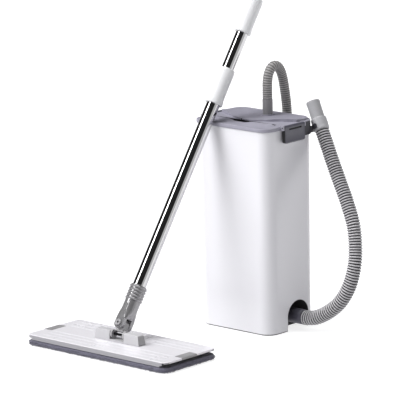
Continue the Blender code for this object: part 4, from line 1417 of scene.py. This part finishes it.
@dataclass
class Tub(SubAssembly):
    """The tall white tub with its arched drain recess, and the divider inside."""

    height: float = 0.3850
    width: float = 0.1850
    depth: float = 0.1320
    taper: Pair = (0.0042, 0.0018)
    corner: float = TUB_CORNER
    wall: float = 0.0030
    floor: float = 0.0040
    recess_y: float = RECESS_Y
    recess_half: float = 0.0292
    spring: float = 0.0268
    recess_in: float = 0.0565
    drain_z: float = DRAIN_Z

    def half(self, z: float) -> Pair:
        """The tub's outer half sizes at a height.

        Args:
            z: The height.

        Returns:
            Half its width and half its depth.
        """
        part = z / self.height
        return self.width / 2 - self.taper[0] * (1 - part), self.depth / 2 - self.taper[1] * (1 - part)

    def arch(self, half: float, bottom: float) -> list[Pair]:
        """An arch's outline in (y, z), its legs reaching down to bottom.

        Args:
            half: Half its width.
            bottom: Where its legs end.

        Returns:
            The outline.
        """
        outline = [(self.recess_y - half, bottom), (self.recess_y + half, bottom)]
        turns = [math.pi * k / 40 for k in range(41)]
        return outline + [(self.recess_y + half * math.cos(turn), self.spring + half * math.sin(turn))
                          for turn in turns]

    def build(self) -> None:
        """Builds and dresses the tub."""
        loops = []
        levels = [self.height * k / 6 for k in range(7)]
        for z, shrink in [(0.0, 0.0022), (0.0007, 0.0010), (0.0022, 0.0), *[(z, 0.0) for z in levels[1:-1]],
                          (self.height - 0.0008, 0.0), (self.height, 0.0007)]:
            x, y = self.half(z)
            loops.append(rounded(x - shrink, y - shrink, self.corner - shrink, z, 16))
        for z in (self.height, self.height - 0.0010, 0.1900, self.floor + 0.0020, self.floor):
            x, y = self.half(z)
            inset = self.wall + (0.0006 if z in (self.height, self.floor) else 0.0)
            loops.append(rounded(x - inset, y - inset, self.corner - inset, z, 16))
        tub = Blank.loft("bucket_shell_moulded", loops)
        liner = Blank.prism("recess_wall", self.arch(self.recess_half + 0.0025, 0.0008),
                            self.recess_in - 0.0025, 0.0872, Axis.X)
        pocket = Blank.prism("recess_room", self.arch(self.recess_half, -0.0100), self.recess_in, 0.1100,
                             Axis.X)
        out = along_x(0.0, self.recess_y, self.drain_z)
        hole = Blank.turned("drain_hole", [(0.0103, 0.0400), (0.0103, 0.0700)], out, 40)
        shell = tub.join(liner).cut(pocket, hole).settle(0.0006, 2)
        self.place(shell, Body.TUB, GLOSS_WHITE, "bucket_shell")
        self.paint_recess_shade(shell)
        self.paint_base_shadow(shell)
        self.dress_node("tub_divider", INNER_WHITE)

    def paint_base_shadow(self, shell: bpy.types.Object) -> None:
        """Paints a contact shadow along the lowest edge of the tub, as a dark line.

        Args:
            shell: The finished tub.
        """
        for face in shell.data.polygons:
            if face.center.z < 0.0021 and face.material_index == 0:
                face.material_index = 1

    def paint_recess_shade(self, shell: bpy.types.Object) -> None:
        """Paints shade in black on the walls inside the recess.

        Args:
            shell: The finished tub.
        """
        shell.data.materials.append(finish_of(SHADE_BLACK))
        outer = self.half(0.03)[0] - 0.0009
        inside = self.recess_half + 0.0006
        for face in shell.data.polygons:
            x, y, z = face.center
            across = math.hypot(y - self.recess_y, max(z - self.spring, 0.0))
            if self.recess_in - 0.001 < x < outer and across < inside and face.normal.x > -0.5 and z > 0.0004:
                if x < self.recess_in + 0.001 or across > self.recess_half - 0.0008:
                    face.material_index = 1


@dataclass
class Lid(SubAssembly):
    """The blue-grey lid with its slot, raised deck and socket, and the squeeze frame that hangs below it."""

    over: float = 0.0026
    low: float = 0.3853
    top: float = 0.3920
    deck_top: float = 0.3955
    slot_half: float = 0.0760
    slot_front: float = -0.0360
    slot_back: float = -0.0200
    slot_bow: float = 0.0050
    deck_half: Pair = (0.0895, 0.0630)
    deck_corner: float = 0.0210
    flap_half: float = 0.0840
    flap_front: float = -0.0600
    flap_rise: float = 0.0034
    latch_x: float = 0.0995
    latch_z: float = 0.3898
    latch_y: Pair = (-0.0280, 0.0272)
    latch_low: float = 0.3602
    socket: Pair = SOCKET
    knots: tuple[Pair, ...] = ((-0.0895, 0.0120), (-0.0550, -0.0030), (-0.0350, -0.0150), (-0.0120, -0.0196),
                               (0.0150, -0.0196), (0.0390, -0.0085), (0.0630, 0.0080), (0.0895, 0.0200))

    def deck_front(self, x: float) -> float:
        """The deck's front edge at x, seen from above.

        Args:
            x: Where along the lid.

        Returns:
            The edge's y.
        """
        for (x0, y0), (x1, y1) in zip(self.knots, self.knots[1:]):
            if x <= x1:
                part = (x - x0) / (x1 - x0)
                return y0 + (y1 - y0) * (eased(part) * 0.5 + part * 0.5)
        return self.knots[-1][1]

    def deck(self) -> Blank:
        """The raised rear deck, its front lip dipping in the middle.

        Returns:
            The deck.
        """
        (half_x, half_y), radius = self.deck_half, self.deck_corner
        columns = [-half_x + 2 * half_x * k / 72 for k in range(73)]
        rows = 7
        points: list[Point] = []
        for x in columns:
            over = max(abs(x) - (half_x - radius), 0.0)
            front = self.deck_front(x)
            back = max(half_y - radius + math.sqrt(max(radius**2 - over**2, 0.0)), front + 0.004)
            lip = 0.0030 * min(1.0, (abs(x + 0.005) / 0.070) ** 2) - 0.0012
            for k in range(rows):
                part = k / (rows - 1)
                y = front + (back - front) * part
                points += [(x, y, self.deck_top + lip * (1 - part) ** 2), (x, y, self.top - 0.0015)]
        return Blank.solid("lid_deck", points, slab_faces(len(columns), rows))

    def flap(self) -> Blank:
        """The smooth flap in front of the slot, which dips where the mop goes in.

        Returns:
            The flap.
        """
        columns = [-self.flap_half + 2 * self.flap_half * k / 72 for k in range(73)]
        rows = 9
        points: list[Point] = []
        for x in columns:
            out = min(max((abs(x - 0.0010) - 0.0100) / 0.0200, 0.0), 1.0)
            fall = min(max((self.flap_half - abs(x)) / 0.0120, 0.0), 1.0)
            rise = self.flap_rise * (0.08 + 0.92 * eased(out)) * fall
            back = self.slot_edge(x) - 0.0001
            for k in range(rows):
                part = k / (rows - 1)
                y = self.flap_front + (back - self.flap_front) * part
                points += [(x, y, self.top - 0.0003 + rise * eased(part)), (x, y, self.top - 0.0020)]
        return Blank.solid("lid_flap", points, slab_faces(len(columns), rows))

    def slot_edge(self, x: float) -> float:
        """The bowed front edge of the slot at x, seen from above."""
        return self.slot_front + self.slot_bow * (x / self.slot_half) ** 2

    def slot_outline(self) -> list[Pair]:
        """The mop slot seen from above.

        Returns:
            The outline.
        """
        xs = [-self.slot_half + 2 * self.slot_half * k / 24 for k in range(25)]
        front = [(x, self.slot_edge(x)) for x in xs]
        return [*front, (self.slot_half, self.slot_back), (-self.slot_half, self.slot_back)]

    def pin_line(self, side: int) -> Matrix:
        """The frame along one latch's pin."""
        return along_y(Matrix.Translation((side * self.latch_x, 0, self.latch_z)))

    def build(self) -> None:
        """Builds and dresses the lid, its latches and what hangs below it."""
        half_x, half_y, radius = 0.0925 + self.over, 0.0660 + self.over, 0.0240 + self.over
        loops = [rounded(half_x - inset, half_y - inset, radius - inset, z, 16) for z, inset in (
            (self.low, 0.0005), (self.low + 0.0005, 0.0), (self.top - 0.0016, 0.0), (self.top - 0.0006, 0.0003),
            (self.top - 0.0002, 0.0008), (self.top, 0.0016))]
        lid = Blank.loft("lid_moulded", loops)
        rim = [rounded(0.0888 - inset, 0.0623 - inset, 0.0203 - inset, z, 12) for z, inset in (
            (self.low + 0.001, 0.0), (0.3790, 0.0004), (0.3790, 0.0020), (self.low + 0.001, 0.0020))]
        lid.join(Blank.loft("lid_rim", rim, ring=True), self.deck(), self.flap())
        for side in (-1, 1):
            for low, high in ((self.latch_y[0] - 0.0036, self.latch_y[0] - 0.0006),
                              (self.latch_y[1] + 0.0006, self.latch_y[1] + 0.0036)):
                xs = sorted((side * 0.0930, side * (self.latch_x + 0.0030)))
                lid.join(Blank.block(f"ear_{side}_{high > 0}", (xs[0], low, self.low + 0.0001),
                                     (xs[1], high, self.top + 0.0016)))
            lid.cut(Blank.turned(f"pin_hole_{side}", [(0.0018, -0.0420), (0.0018, 0.0500)],
                                 self.pin_line(side), 16))
        here = Matrix.Translation((*self.socket, 0))
        lid.cut(Blank.prism("slot_room", self.slot_outline(), 0.3700, 0.4100),
                Blank.turned("socket_room", [(0.0123, 0.3700), (0.0123, 0.4100)], here, 40))
        shell = self.place(lid.settle(0.0006, 3), Body.LID, LID_SATIN, "lid")
        self.paint_slot_shade(shell)
        socket = Blank.turned("fill_socket_moulded", [
            (0.0120, 0.3760), (0.0120, 0.3962), (0.0116, 0.3973), (0.0110, 0.3976), (0.0101, 0.3976),
            (0.0099, 0.3972), (0.0099, 0.3760)], here, 48, True)
        self.place(socket.settle(), Body.LID, LID_SATIN, "fill_socket")
        frame_low, frame_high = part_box("squeeze_frame")
        rack = Blank.block("squeeze_frame_moulded", tuple(frame_low), tuple(frame_high))
        rack.cut(Blank.block("squeeze_room", (-0.0775, -0.0375, 0.32), (0.0775, -0.0185, 0.40)))
        self.place(rack.settle(0.0005, 2), Body.LID, INNER_WHITE, "squeeze_frame")
        self.dress_node("wiper_blade", RUBBER)
        for side, word, body in ((-1, "left", Body.LATCH_LEFT), (1, "right", Body.LATCH_RIGHT)):
            self.dress_node(f"latch_pin_{word}", STEEL)
            self.latch(side, word, body)

    def paint_slot_shade(self, shell: bpy.types.Object) -> None:
        """Paints shade in a dark finish on the slot's walls.

        Args:
            shell: The finished lid.
        """
        shell.data.materials.append(finish_of(SHADE_BLACK))
        for face in shell.data.polygons:
            x, y, z = face.center
            if abs(x) < self.slot_half + 0.0006 and self.slot_edge(x) - 0.0006 < y < self.slot_back + 0.0006:
                rim = self.top + (0.0016 if y > self.slot_back - 0.002 else -0.0010)
                if abs(face.normal.z) < 0.6 and z < rim:
                    face.material_index = 1

    def latch(self, side: int, word: str, body: Body) -> None:
        """One latch: a barrel on its pin, and a plate with a finger slot hanging down the tub's side.

        Args:
            side: -1 at the left and 1 at the right.
            word: Its side in a word.
            body: The body that it moves with.
        """
        radius = 0.0037
        x, z = self.latch_x, self.latch_z
        outline = [(x - radius, self.latch_low), (x + 0.0026, self.latch_low),
                   (x + 0.0040, self.latch_low + 0.0020)]
        for k in range(17):
            turn = math.pi * k / 16
            outline.append((x + radius * math.cos(turn), z + radius * math.sin(turn)))
        low, high = self.latch_y
        latch = Blank.prism(f"latch_{word}_moulded", [(side * a, b) for a, b in outline], low, high, Axis.Y)
        outer = sorted((side * (x + 0.0016), side * (x + 0.0100)))
        latch.cut(Blank.block(f"finger_slot_{word}", (outer[0], -0.0165, 0.3846), (outer[1], 0.0180, 0.3877)))
        across = sorted((side * (x - 0.010), side * (x + 0.010)))
        for k, (y, way) in enumerate(((low, 1), (high, -1))):
            size = 0.0050
            cut = [(y - way * 0.001, self.latch_low - 0.001), (y + way * size, self.latch_low - 0.001)]
            for n in range(13):
                turn = math.pi / 2 * n / 12
                cut.append((y + way * size * (1 - math.sin(turn)),
                            self.latch_low + size * (1 - math.cos(turn))))
            cut.append((y - way * 0.001, self.latch_low + size))
            latch.cut(Blank.prism(f"latch_corner_{word}_{k}", cut, across[0], across[1], Axis.X))
        latch.cut(Blank.turned(f"latch_bore_{word}", [(0.0018, -0.0400), (0.0018, 0.0600)],
                               self.pin_line(side), 16))
        made = self.place(latch.settle(0.0005, 3), body, LATCH_SLATE, f"latch_{word}")
        # Painted shade: the latch's faces towards the front and the walls inside its finger slot get the black
        # shade finish.
        made.data.materials.append(finish_of(SHADE_BLACK))
        for face in made.data.polygons:
            at = face.center
            inside = x + 0.0015 < abs(at.x) < x + 0.0038 and -0.0166 < at.y < 0.0181 and 0.3845 < at.z < 0.3878
            if face.normal.y < -0.8 or inside:
                face.material_index = 1


@dataclass
class MopHead(SubAssembly):
    """The flat mop: plate, pad, tabs, strips and saddle."""

    centre: Pair = (-0.0605, -0.3080)
    pad: Point = (0.3600, 0.1480, 0.0118)
    plate: Pair = (0.3500, 0.1380)
    plate_top: float = 0.0215
    plate_low: float = 0.0152
    tab_half: float = 0.0195
    tab_y: float = -0.3115
    tab_deep: float = 0.0185
    end_low: float = 0.0178
    saddle_x: float = -0.0582
    saddle_y: float = -0.3124
    saddle_half: float = 0.0555
    saddle_gap: float = 0.0178
    saddle_deep: float = 0.0092
    saddle_top: float = 0.0405
    pin_z: float = 0.0340
    grooves: int = 8

    def build(self) -> None:
        """Builds and dresses the mop head."""
        self.build_pad()
        self.build_plate()
        self.build_tabs()
        self.build_saddle()
        for word in ("left", "right"):
            self.dress_node(f"hook_strip_{word}", RUBBER)
        self.dress_node("saddle_pin", PIN_BLACK)

    def build_pad(self) -> None:
        """The microfibre pad: a core swollen by a short cloth simulation, with loops of yarn round it."""
        long, wide, _ = self.pad
        levels = ((0.0012, 0.0050), (0.0022, 0.0026), (0.0050, 0.0016), (0.0085, 0.0020), (0.0108, 0.0042))
        loops = [rounded(long / 2 - inset, wide / 2 - inset, 0.0200 - inset, z, 10, self.centre)
                 for z, inset in levels]
        core = Blank.loft("mop_pad_cloth", loops).obj
        voxels = core.modifiers.new("even_mesh", "REMESH")
        voxels.mode = "VOXEL"
        voxels.voxel_size = 0.0032
        baked(core)
        self.swell(core)
        smooth = core.modifiers.new("smooth", "SUBSURF")
        smooth.levels = smooth.render_levels = 1
        baked(core)
        core.data.shade_smooth()
        self.place(core, Body.HEAD, PAD_CLOTH, "mop_pad")
        pile = new_object("mop_pad_pile", core.data.copy())
        pile.data.materials.clear()
        pile_tree().apply(pile, Spacing=0.0031, Loop_Width=0.0022, Loop_Height=0.0016, Yarn=0.00048,
                          Floor=0.0002, Seed=7, Material=finish_of(PAD_PILE))
        self.place(pile, Body.HEAD, PAD_PILE)

    def swell(self, core: bpy.types.Object, cap: float = 0.0016) -> None:
        """Swells the pad by cloth pressure and caps how far each point moves.

        Args:
            core: The remeshed pad.
            cap: The furthest that a point may move.
        """
        scene = bpy.context.scene
        before = [point.co.copy() for point in core.data.vertices]
        cloth = core.modifiers.new("swell", "CLOTH")
        cloth.settings.use_pressure = True
        cloth.settings.uniform_pressure_force = 4.0
        cloth.settings.effector_weights.gravity = 0.0
        cloth.settings.quality = 5
        cloth.point_cache.frame_start, cloth.point_cache.frame_end = 1, 20
        for moment in range(1, 21):
            scene.frame_set(moment)
        graph = bpy.context.evaluated_depsgraph_get()
        swollen = bpy.data.meshes.new_from_object(core.evaluated_get(graph))
        core.modifiers.clear()
        for point, old, new in zip(core.data.vertices, before, swollen.vertices):
            shift = new.co - old
            if shift.length > cap:
                shift *= cap / shift.length
            point.co = old + shift
            point.co.z = min(max(point.co.z, 0.0010), 0.0116)
        bpy.data.meshes.remove(swollen)
        scene.frame_set(1)

    def build_plate(self) -> None:
        """The white plate with its side walls, notches and shallow grooves along its top."""
        x, y = self.centre
        half_l, half_w = self.plate[0] / 2, self.plate[1] / 2
        low, top = self.plate_low, self.plate_top
        loops = [rounded(half_l - inset, half_w - inset, 0.0120 - inset, z, 10, self.centre) for z, inset in (
            (low, 0.0), (top - 0.0020, 0.0), (top - 0.0010, 0.0003), (top - 0.0003, 0.0011), (top, 0.0024))]
        plate = Blank.loft("head_plate_moulded", loops)
        for side, word in ((-1, "front"), (1, "back")):
            ys = sorted((y + side * half_w, y + side * (half_w - 0.0045)))
            plate.join(Blank.block(f"plate_wall_{word}", (x - 0.1610, ys[0], self.pad[2] + 0.0004),
                                   (x + 0.1610, ys[1], low + 0.0010)))
        for side, word in ((-1, "left"), (1, "right")):
            end = x + side * half_l
            xs = sorted((end - side * (self.tab_deep + 0.0004), end + side * 0.0100))
            plate.cut(Blank.block(f"tab_room_{word}", (xs[0], self.tab_y - self.tab_half - 0.0004, low - 0.01),
                                  (xs[1], self.tab_y + self.tab_half + 0.0004, top + 0.01)))
            xs = sorted((end - side * 0.0060, end + side * 0.0100))
            plate.cut(Blank.block(f"end_room_{word}", (xs[0], y - self.plate[1], low - 0.01),
                                  (xs[1], y + self.plate[1], self.end_low)))
        for k in range(self.grooves):
            off = (k - (self.grooves - 1) / 2) * 0.0150
            if abs(off + y - self.saddle_y) < 0.0135:
                continue
            groove = [(y + off - 0.0009, top + 0.001), (y + off - 0.0004, top - 0.0005),
                      (y + off + 0.0004, top - 0.0005), (y + off + 0.0009, top + 0.001)]
            plate.cut(Blank.prism(f"groove_{k}", groove, x - 0.150, x + 0.150, Axis.X))
        made = self.place(plate.settle(0.0005, 2), Body.HEAD, PLATE_WHITE, "head_plate")
        # Painted shade: the side walls get a shaded copy of the plate's white, and the low faces at the short
        # ends get black as a shadow gap.
        made.data.materials.append(finish_of(PLATE_SIDE_SHADE))
        made.data.materials.append(finish_of(SHADE_BLACK))
        for face in made.data.polygons:
            at = face.center
            if abs(at.x - x) > half_l - 0.0075 and at.z < self.end_low + 0.0004:
                face.material_index = 2
            elif abs(face.normal.z) < 0.55 and at.z < top - 0.0014 and abs(at.y - y) > half_w - 0.012:
                face.material_index = 1

    def build_tabs(self) -> None:
        """The grey tabs at the plate's short ends."""
        low, top = self.plate_low, self.plate_top
        for side, word in ((-1, "left"), (1, "right")):
            end = self.centre[0] + side * self.plate[0] / 2
            outline = [(end - side * self.tab_deep, low + 0.0004), (end - side * 0.0064, low + 0.0004),
                       (end - side * 0.0050, self.end_low), (end + side * 0.0010, self.end_low),
                       (end + side * 0.0010, top - 0.0020), (end - side * 0.0012, top + 0.0003),
                       (end - side * self.tab_deep, top + 0.0005)]
            tab = Blank.prism(f"tab_{word}_moulded", outline, self.tab_y - self.tab_half,
                              self.tab_y + self.tab_half, Axis.Y)
            self.place(tab.settle(0.0005, 3), Body.HEAD, TAB_GREY, f"tab_{word}")

    def build_saddle(self) -> None:
        """The saddle's base and its two rounded blocks."""
        x, y = self.saddle_x, self.saddle_y
        low = self.plate_top + GAP
        base = low + 0.0030
        saddle = Blank.block("saddle_moulded", (x - self.saddle_half, y - self.saddle_deep, low),
                             (x + self.saddle_half, y + self.saddle_deep, base))
        for side, word in ((-1, "left"), (1, "right")):
            near, far = x + side * self.saddle_gap, x + side * self.saddle_half
            loops = []
            for z, half, back in ((low + 0.0002, 0.0092, 0.0), (base, 0.0091, 0.0002), (0.0300, 0.0087, 0.0009),
                                  (0.0370, 0.0080, 0.0022), (self.saddle_top - 0.0010, 0.0074, 0.0034),
                                  (self.saddle_top, 0.0060, 0.0050)):
                reach = far - side * back
                loops.append([(near, y - half, z), (reach, y - half, z), (reach, y + half, z),
                              (near, y + half, z)])
            saddle.join(Blank.loft(f"saddle_block_{word}", loops))
        saddle.cut(Blank.turned("saddle_bore", [(0.0028, -0.0480), (0.0028, 0.0480)],
                                along_x(x, y, self.pin_z), 24))
        made = self.place(saddle.settle(0.0009, 3, 28.0), Body.HEAD, SADDLE_WHITE, "saddle")
        # Painted shade: faces that point along X below the blocks' tops, at the ends and facing the gap between
        # the blocks, get the darker grey.
        made.data.materials.append(finish_of(JOINT_GREY))
        for face in made.data.polygons:
            if abs(face.normal.x) > 0.75 and face.center.z < self.saddle_top - 0.0012:
                face.material_index = 1


@dataclass
class Pole(SubAssembly):
    """The cross-piece on the saddle, the fork connector and the telescopic pole with its grip."""

    saddle_pin: Point = (-0.0582, -0.3124, 0.0340)
    pin_step: float = 0.0190
    lean_back: float = LEAN_BACK
    lean_side: float = math.radians(2.19)
    tube: float = 0.0127
    tube_wall: float = 0.0006
    tube_step: float = 0.0009
    lower: Pair = (0.0303, 0.5000)
    middle: Pair = (0.1650, 0.6420)
    upper: Pair = (0.4800, 1.1300)
    coupler_low: Pair = (0.4450, 0.5160)
    coupler_high: Pair = (0.5900, 0.6600)
    grip: Pair = (1.0100, 1.1500)
    loop_end: float = 1.1950

    def build(self) -> None:
        """Builds and dresses the pole from the saddle up."""
        cross = Matrix.Translation(self.saddle_pin) @ Matrix.Rotation(-self.lean_back, 4, "X")
        pole = cross @ Matrix.Translation((0, 0, self.pin_step)) @ Matrix.Rotation(self.lean_side, 4, "Y")
        self.build_cross(cross)
        self.build_fork(pole)
        self.build_tubes(pole)
        self.build_couplers(pole)
        self.build_grip(pole)

    def build_cross(self, cross: Matrix) -> None:
        """The cross-piece on the saddle pin, and the fork pin with its round boss and cap.

        Args:
            cross: The cross-piece's frame.
        """
        side = cross @ Matrix.Rotation(math.pi / 2, 4, "Y")
        cheek = along_y(cross, self.pin_step)
        piece = Blank.turned("cross_piece_moulded", [(0.0076, -0.0174), (0.0083, -0.0166), (0.0083, 0.0166),
                                                     (0.0076, 0.0174)], side, 48)
        piece.cut(Blank.block("cross_window", (-0.0132, -0.0200, -0.0200), (0.0132, 0.0200, 0.0052), cross))
        piece.join(Blank.block("cross_lug", (-0.0092, -0.0065, 0.0054), (0.0092, 0.0065, self.pin_step), cross),
                   Blank.turned("cross_eye", [(0.0093, -0.0064), (0.0093, 0.0064)], cheek, 48))
        piece.cut(Blank.turned("cross_bore", [(0.0028, -0.0300), (0.0028, 0.0300)], side, 24),
                  Blank.turned("cross_pin_bore", [(0.0033, -0.0300), (0.0033, 0.0300)], cheek, 24))
        self.place(piece.settle(0.0005, 3), Body.CROSS, JOINT_GREY, "cross_piece")
        pin = Blank.turned("fork_pin_boss", [
            (0.0022, -0.0166), (0.0026, -0.0174), (0.0040, -0.0174), (0.0043, -0.0169), (0.0047, -0.0169),
            (0.0050, -0.0174), (0.0056, -0.0174), (0.0063, -0.0166), (0.0063, -0.0149), (0.0030, -0.0149),
            (0.0030, 0.0170)], cheek, 40)
        self.place(pin.settle(0.0002, 2), Body.CROSS, JOINT_GREY, "fork_pin")
        cap = Blank.turned("fork_pin_cap_moulded", [(0.0060, 0.0149), (0.0060, 0.0165), (0.0052, 0.0173),
                                                    (0.0033, 0.0173), (0.0033, 0.0149)], cheek, 40, True)
        self.place(cap.settle(0.0002, 2), Body.CROSS, JOINT_GREY, "fork_pin_cap")

    def build_fork(self, pole: Matrix) -> None:
        """The fork connector with a sunk panel on each cheek, and the ribbed collar above it.

        Args:
            pole: The pole's frame.
        """
        cheek = along_y(pole)
        fork = Blank.turned("fork_connector_moulded", [(0.0100, -0.0145), (0.0100, 0.0145)], cheek, 56)
        loops = [rounded(0.0118, 0.0145, 0.0050, 0.0112), rounded(0.0126, 0.0146, 0.0064, 0.0145),
                 rounded(0.0135, 0.0147, 0.0080, 0.0180), rounded(0.0144, 0.0148, 0.0120, 0.0240),
                 rounded(0.0148, 0.0148, 0.01479, 0.0300), rounded(0.0148, 0.0148, 0.01479, 0.0480)]
        fork.join(Blank.block("fork_prongs", (-0.0099, -0.0144, 0.0), (0.0099, 0.0144, 0.0140), pole),
                  Blank.loft("fork_neck", loops, pole))
        fork.cut(Blank.block("fork_room", (-0.0200, -0.0069, -0.0200), (0.0200, 0.0069, 0.0112), pole),
                 Blank.turned("fork_pin_hole", [(0.0033, -0.0300), (0.0033, 0.0300)], cheek, 24),
                 Blank.turned("fork_tube_hole", [(self.tube + GAP, self.lower[0] - GAP),
                                                 (self.tube + GAP, 0.0600)], pole, 56))
        panel = [(0.0074 * math.cos(math.pi + math.pi * k / 16), 0.0074 * math.sin(math.pi + math.pi * k / 16))
                 for k in range(17)]
        panel += [(0.0060, 0.0400), (-0.0060, 0.0400)]
        for word, low, high in (("front", -0.0200, -0.0140), ("back", 0.0140, 0.0200)):
            fork.cut(Blank.prism(f"fork_panel_{word}", panel, low, high, Axis.Y, pole))
        self.place(fork.settle(0.0005, 2), Body.POLE, JOINT_SHEEN, "fork_connector")
        outline = [(self.tube + GAP, 0.0483), (0.0150, 0.0483)]
        for k in range(5):
            low = 0.0486 + k * 0.0058
            outline += [(0.0150, low), (0.0160, low + 0.0004), (0.0166, low + 0.0012), (0.0167, low + 0.0020),
                        (0.0166, low + 0.0028), (0.0160, low + 0.0036), (0.0150, low + 0.0040),
                        (0.0150, low + 0.0054)]
        outline += [(0.0148, 0.0776), (self.tube + GAP, 0.0776)]
        collar = Blank.turned("ribbed_collar_moulded", outline, pole, 64, True).settle(0.0, 2, 50.0)
        self.place(collar, Body.POLE, JOINT_SHEEN, "ribbed_collar")

    def sleeve(self, name: str, outer: float, inner: float, low: float, high: float,
               pole: Matrix) -> bpy.types.Object:
        """One plain tube with softly rounded rims.

        Args:
            name: Its name.
            outer: Its outer radius.
            inner: Its inner radius.
            low: Where it starts along the pole.
            high: Where it ends.
            pole: The pole's frame.

        Returns:
            The finished piece.
        """
        soft = (outer - inner) * 0.35
        profile = [(outer - soft, low), (outer, low + soft), (outer, high - soft), (outer - soft, high),
                   (inner + soft, high), (inner, high - soft), (inner, low + soft), (inner + soft, low)]
        return Blank.turned(name, profile, pole, 96, True).settle(0.0, 2, 60.0)

    def build_tubes(self, pole: Matrix) -> None:
        """The three chrome tubes and the clamping rings between them.

        Args:
            pole: The pole's frame.
        """
        outer = self.tube
        for name, body, (low, high) in (("lower_tube", Body.POLE, self.lower),
                                        ("middle_tube", Body.MIDDLE, self.middle),
                                        ("upper_tube", Body.UPPER, self.upper)):
            tube = self.sleeve(f"{name}_drawn", outer, outer - self.tube_wall, low, high, pole)
            self.place(tube, body, CHROME, name)
            outer -= self.tube_step
        self.dress_node("collet_lower", RUBBER)
        self.dress_node("collet_upper", RUBBER)

    def build_couplers(self, pole: Matrix) -> None:
        """The two white twist-lock couplers, flared at their lower ends.

        Args:
            pole: The pole's frame.
        """
        outer = self.tube
        for name, body, (low, high), wide, step in (
                ("coupler_lower", Body.COUPLER_LOWER, self.coupler_low, 0.0168, 0.0040),
                ("coupler_upper", Body.COUPLER_UPPER, self.coupler_high, 0.0160, 0.0060)):
            inner = outer - self.tube_step + GAP
            waist = wide - 0.0013
            profile = [(wide - 0.0006, low), (wide, low + 0.0007), (wide - 0.0001, low + 0.0040),
                       (wide - 0.0003, low + 0.0062), (wide - 0.0008, low + 0.0090), (waist, low + 0.0118),
                       (waist - 0.0001, low + 0.0300), (waist, high - 0.0100), (waist - 0.0002, high - 0.0060),
                       (waist - 0.0006, high - 0.0025), (wide - 0.0023, high - 0.0006), (wide - 0.0029, high),
                       (inner, high), (inner, high - step), (outer + GAP, high - step), (outer + GAP, low)]
            made = Blank.turned(f"{name}_moulded", profile, pole, 96, True).settle(0.0, 2, 50.0)
            self.place(made, body, COUPLER_WHITE, name)
            outer -= self.tube_step

    def build_grip(self, pole: Matrix) -> None:
        """The hand grip with its shallow rings, and the hanging loop.

        Args:
            pole: The pole's frame.
        """
        low, high = self.grip
        top = self.tube - 2 * self.tube_step
        profile = [(0.0128, low), (0.0138, low + 0.0010), (0.0149, low + 0.0035)]
        for k in range(33):
            z = low + 0.0080 + k * 0.0032
            body = 0.0147 + 0.0004 * math.cos(2 * math.pi * (z - low) / 0.1)
            profile.append((body + (0.0003 if k % 2 else -0.0003), z))
        profile += [(0.0150, high - 0.0210), (0.0151, high - 0.0060), (0.0145, high - 0.0020), (0.0130, high)]
        grip = Blank.turned("hand_grip_moulded", profile, pole, 56)
        grip.cut(Blank.turned("grip_bore", [(top + GAP, low - 0.0100), (top + GAP, self.upper[1] + GAP)],
                              pole, 56))
        self.place(grip.settle(0.0, 2, 60.0), Body.UPPER, COUPLER_WHITE, "hand_grip")
        centre = self.loop_end - 0.0140
        outline = []
        for k in range(49):
            turn = math.radians(-60 + 300 * k / 48)
            outline.append((0.0130 * math.cos(turn), 0.0130 * math.sin(turn) + centre))
        outline += [(-0.0100, high + GAP), (0.0100, high + GAP)]
        loop = Blank.prism("hanging_loop_moulded", outline, -0.0035, 0.0035, Axis.Y, pole)
        loop.cut(Blank.turned("loop_eye", [(0.0080, -0.0200), (0.0080, 0.0200)], along_y(pole, centre), 40))
        self.place(loop.settle(0.0010, 3), Body.UPPER, LID_SATIN, "hanging_loop")


def main() -> None:
    """Builds the studio, then each sub-assembly, and reports its pieces."""
    Studio().build()
    for part in (Hoses(), Tub(), Lid(), MopHead(), Pole()):
        part.build()
        part.report()


if __name__ == "__main__":
    main()
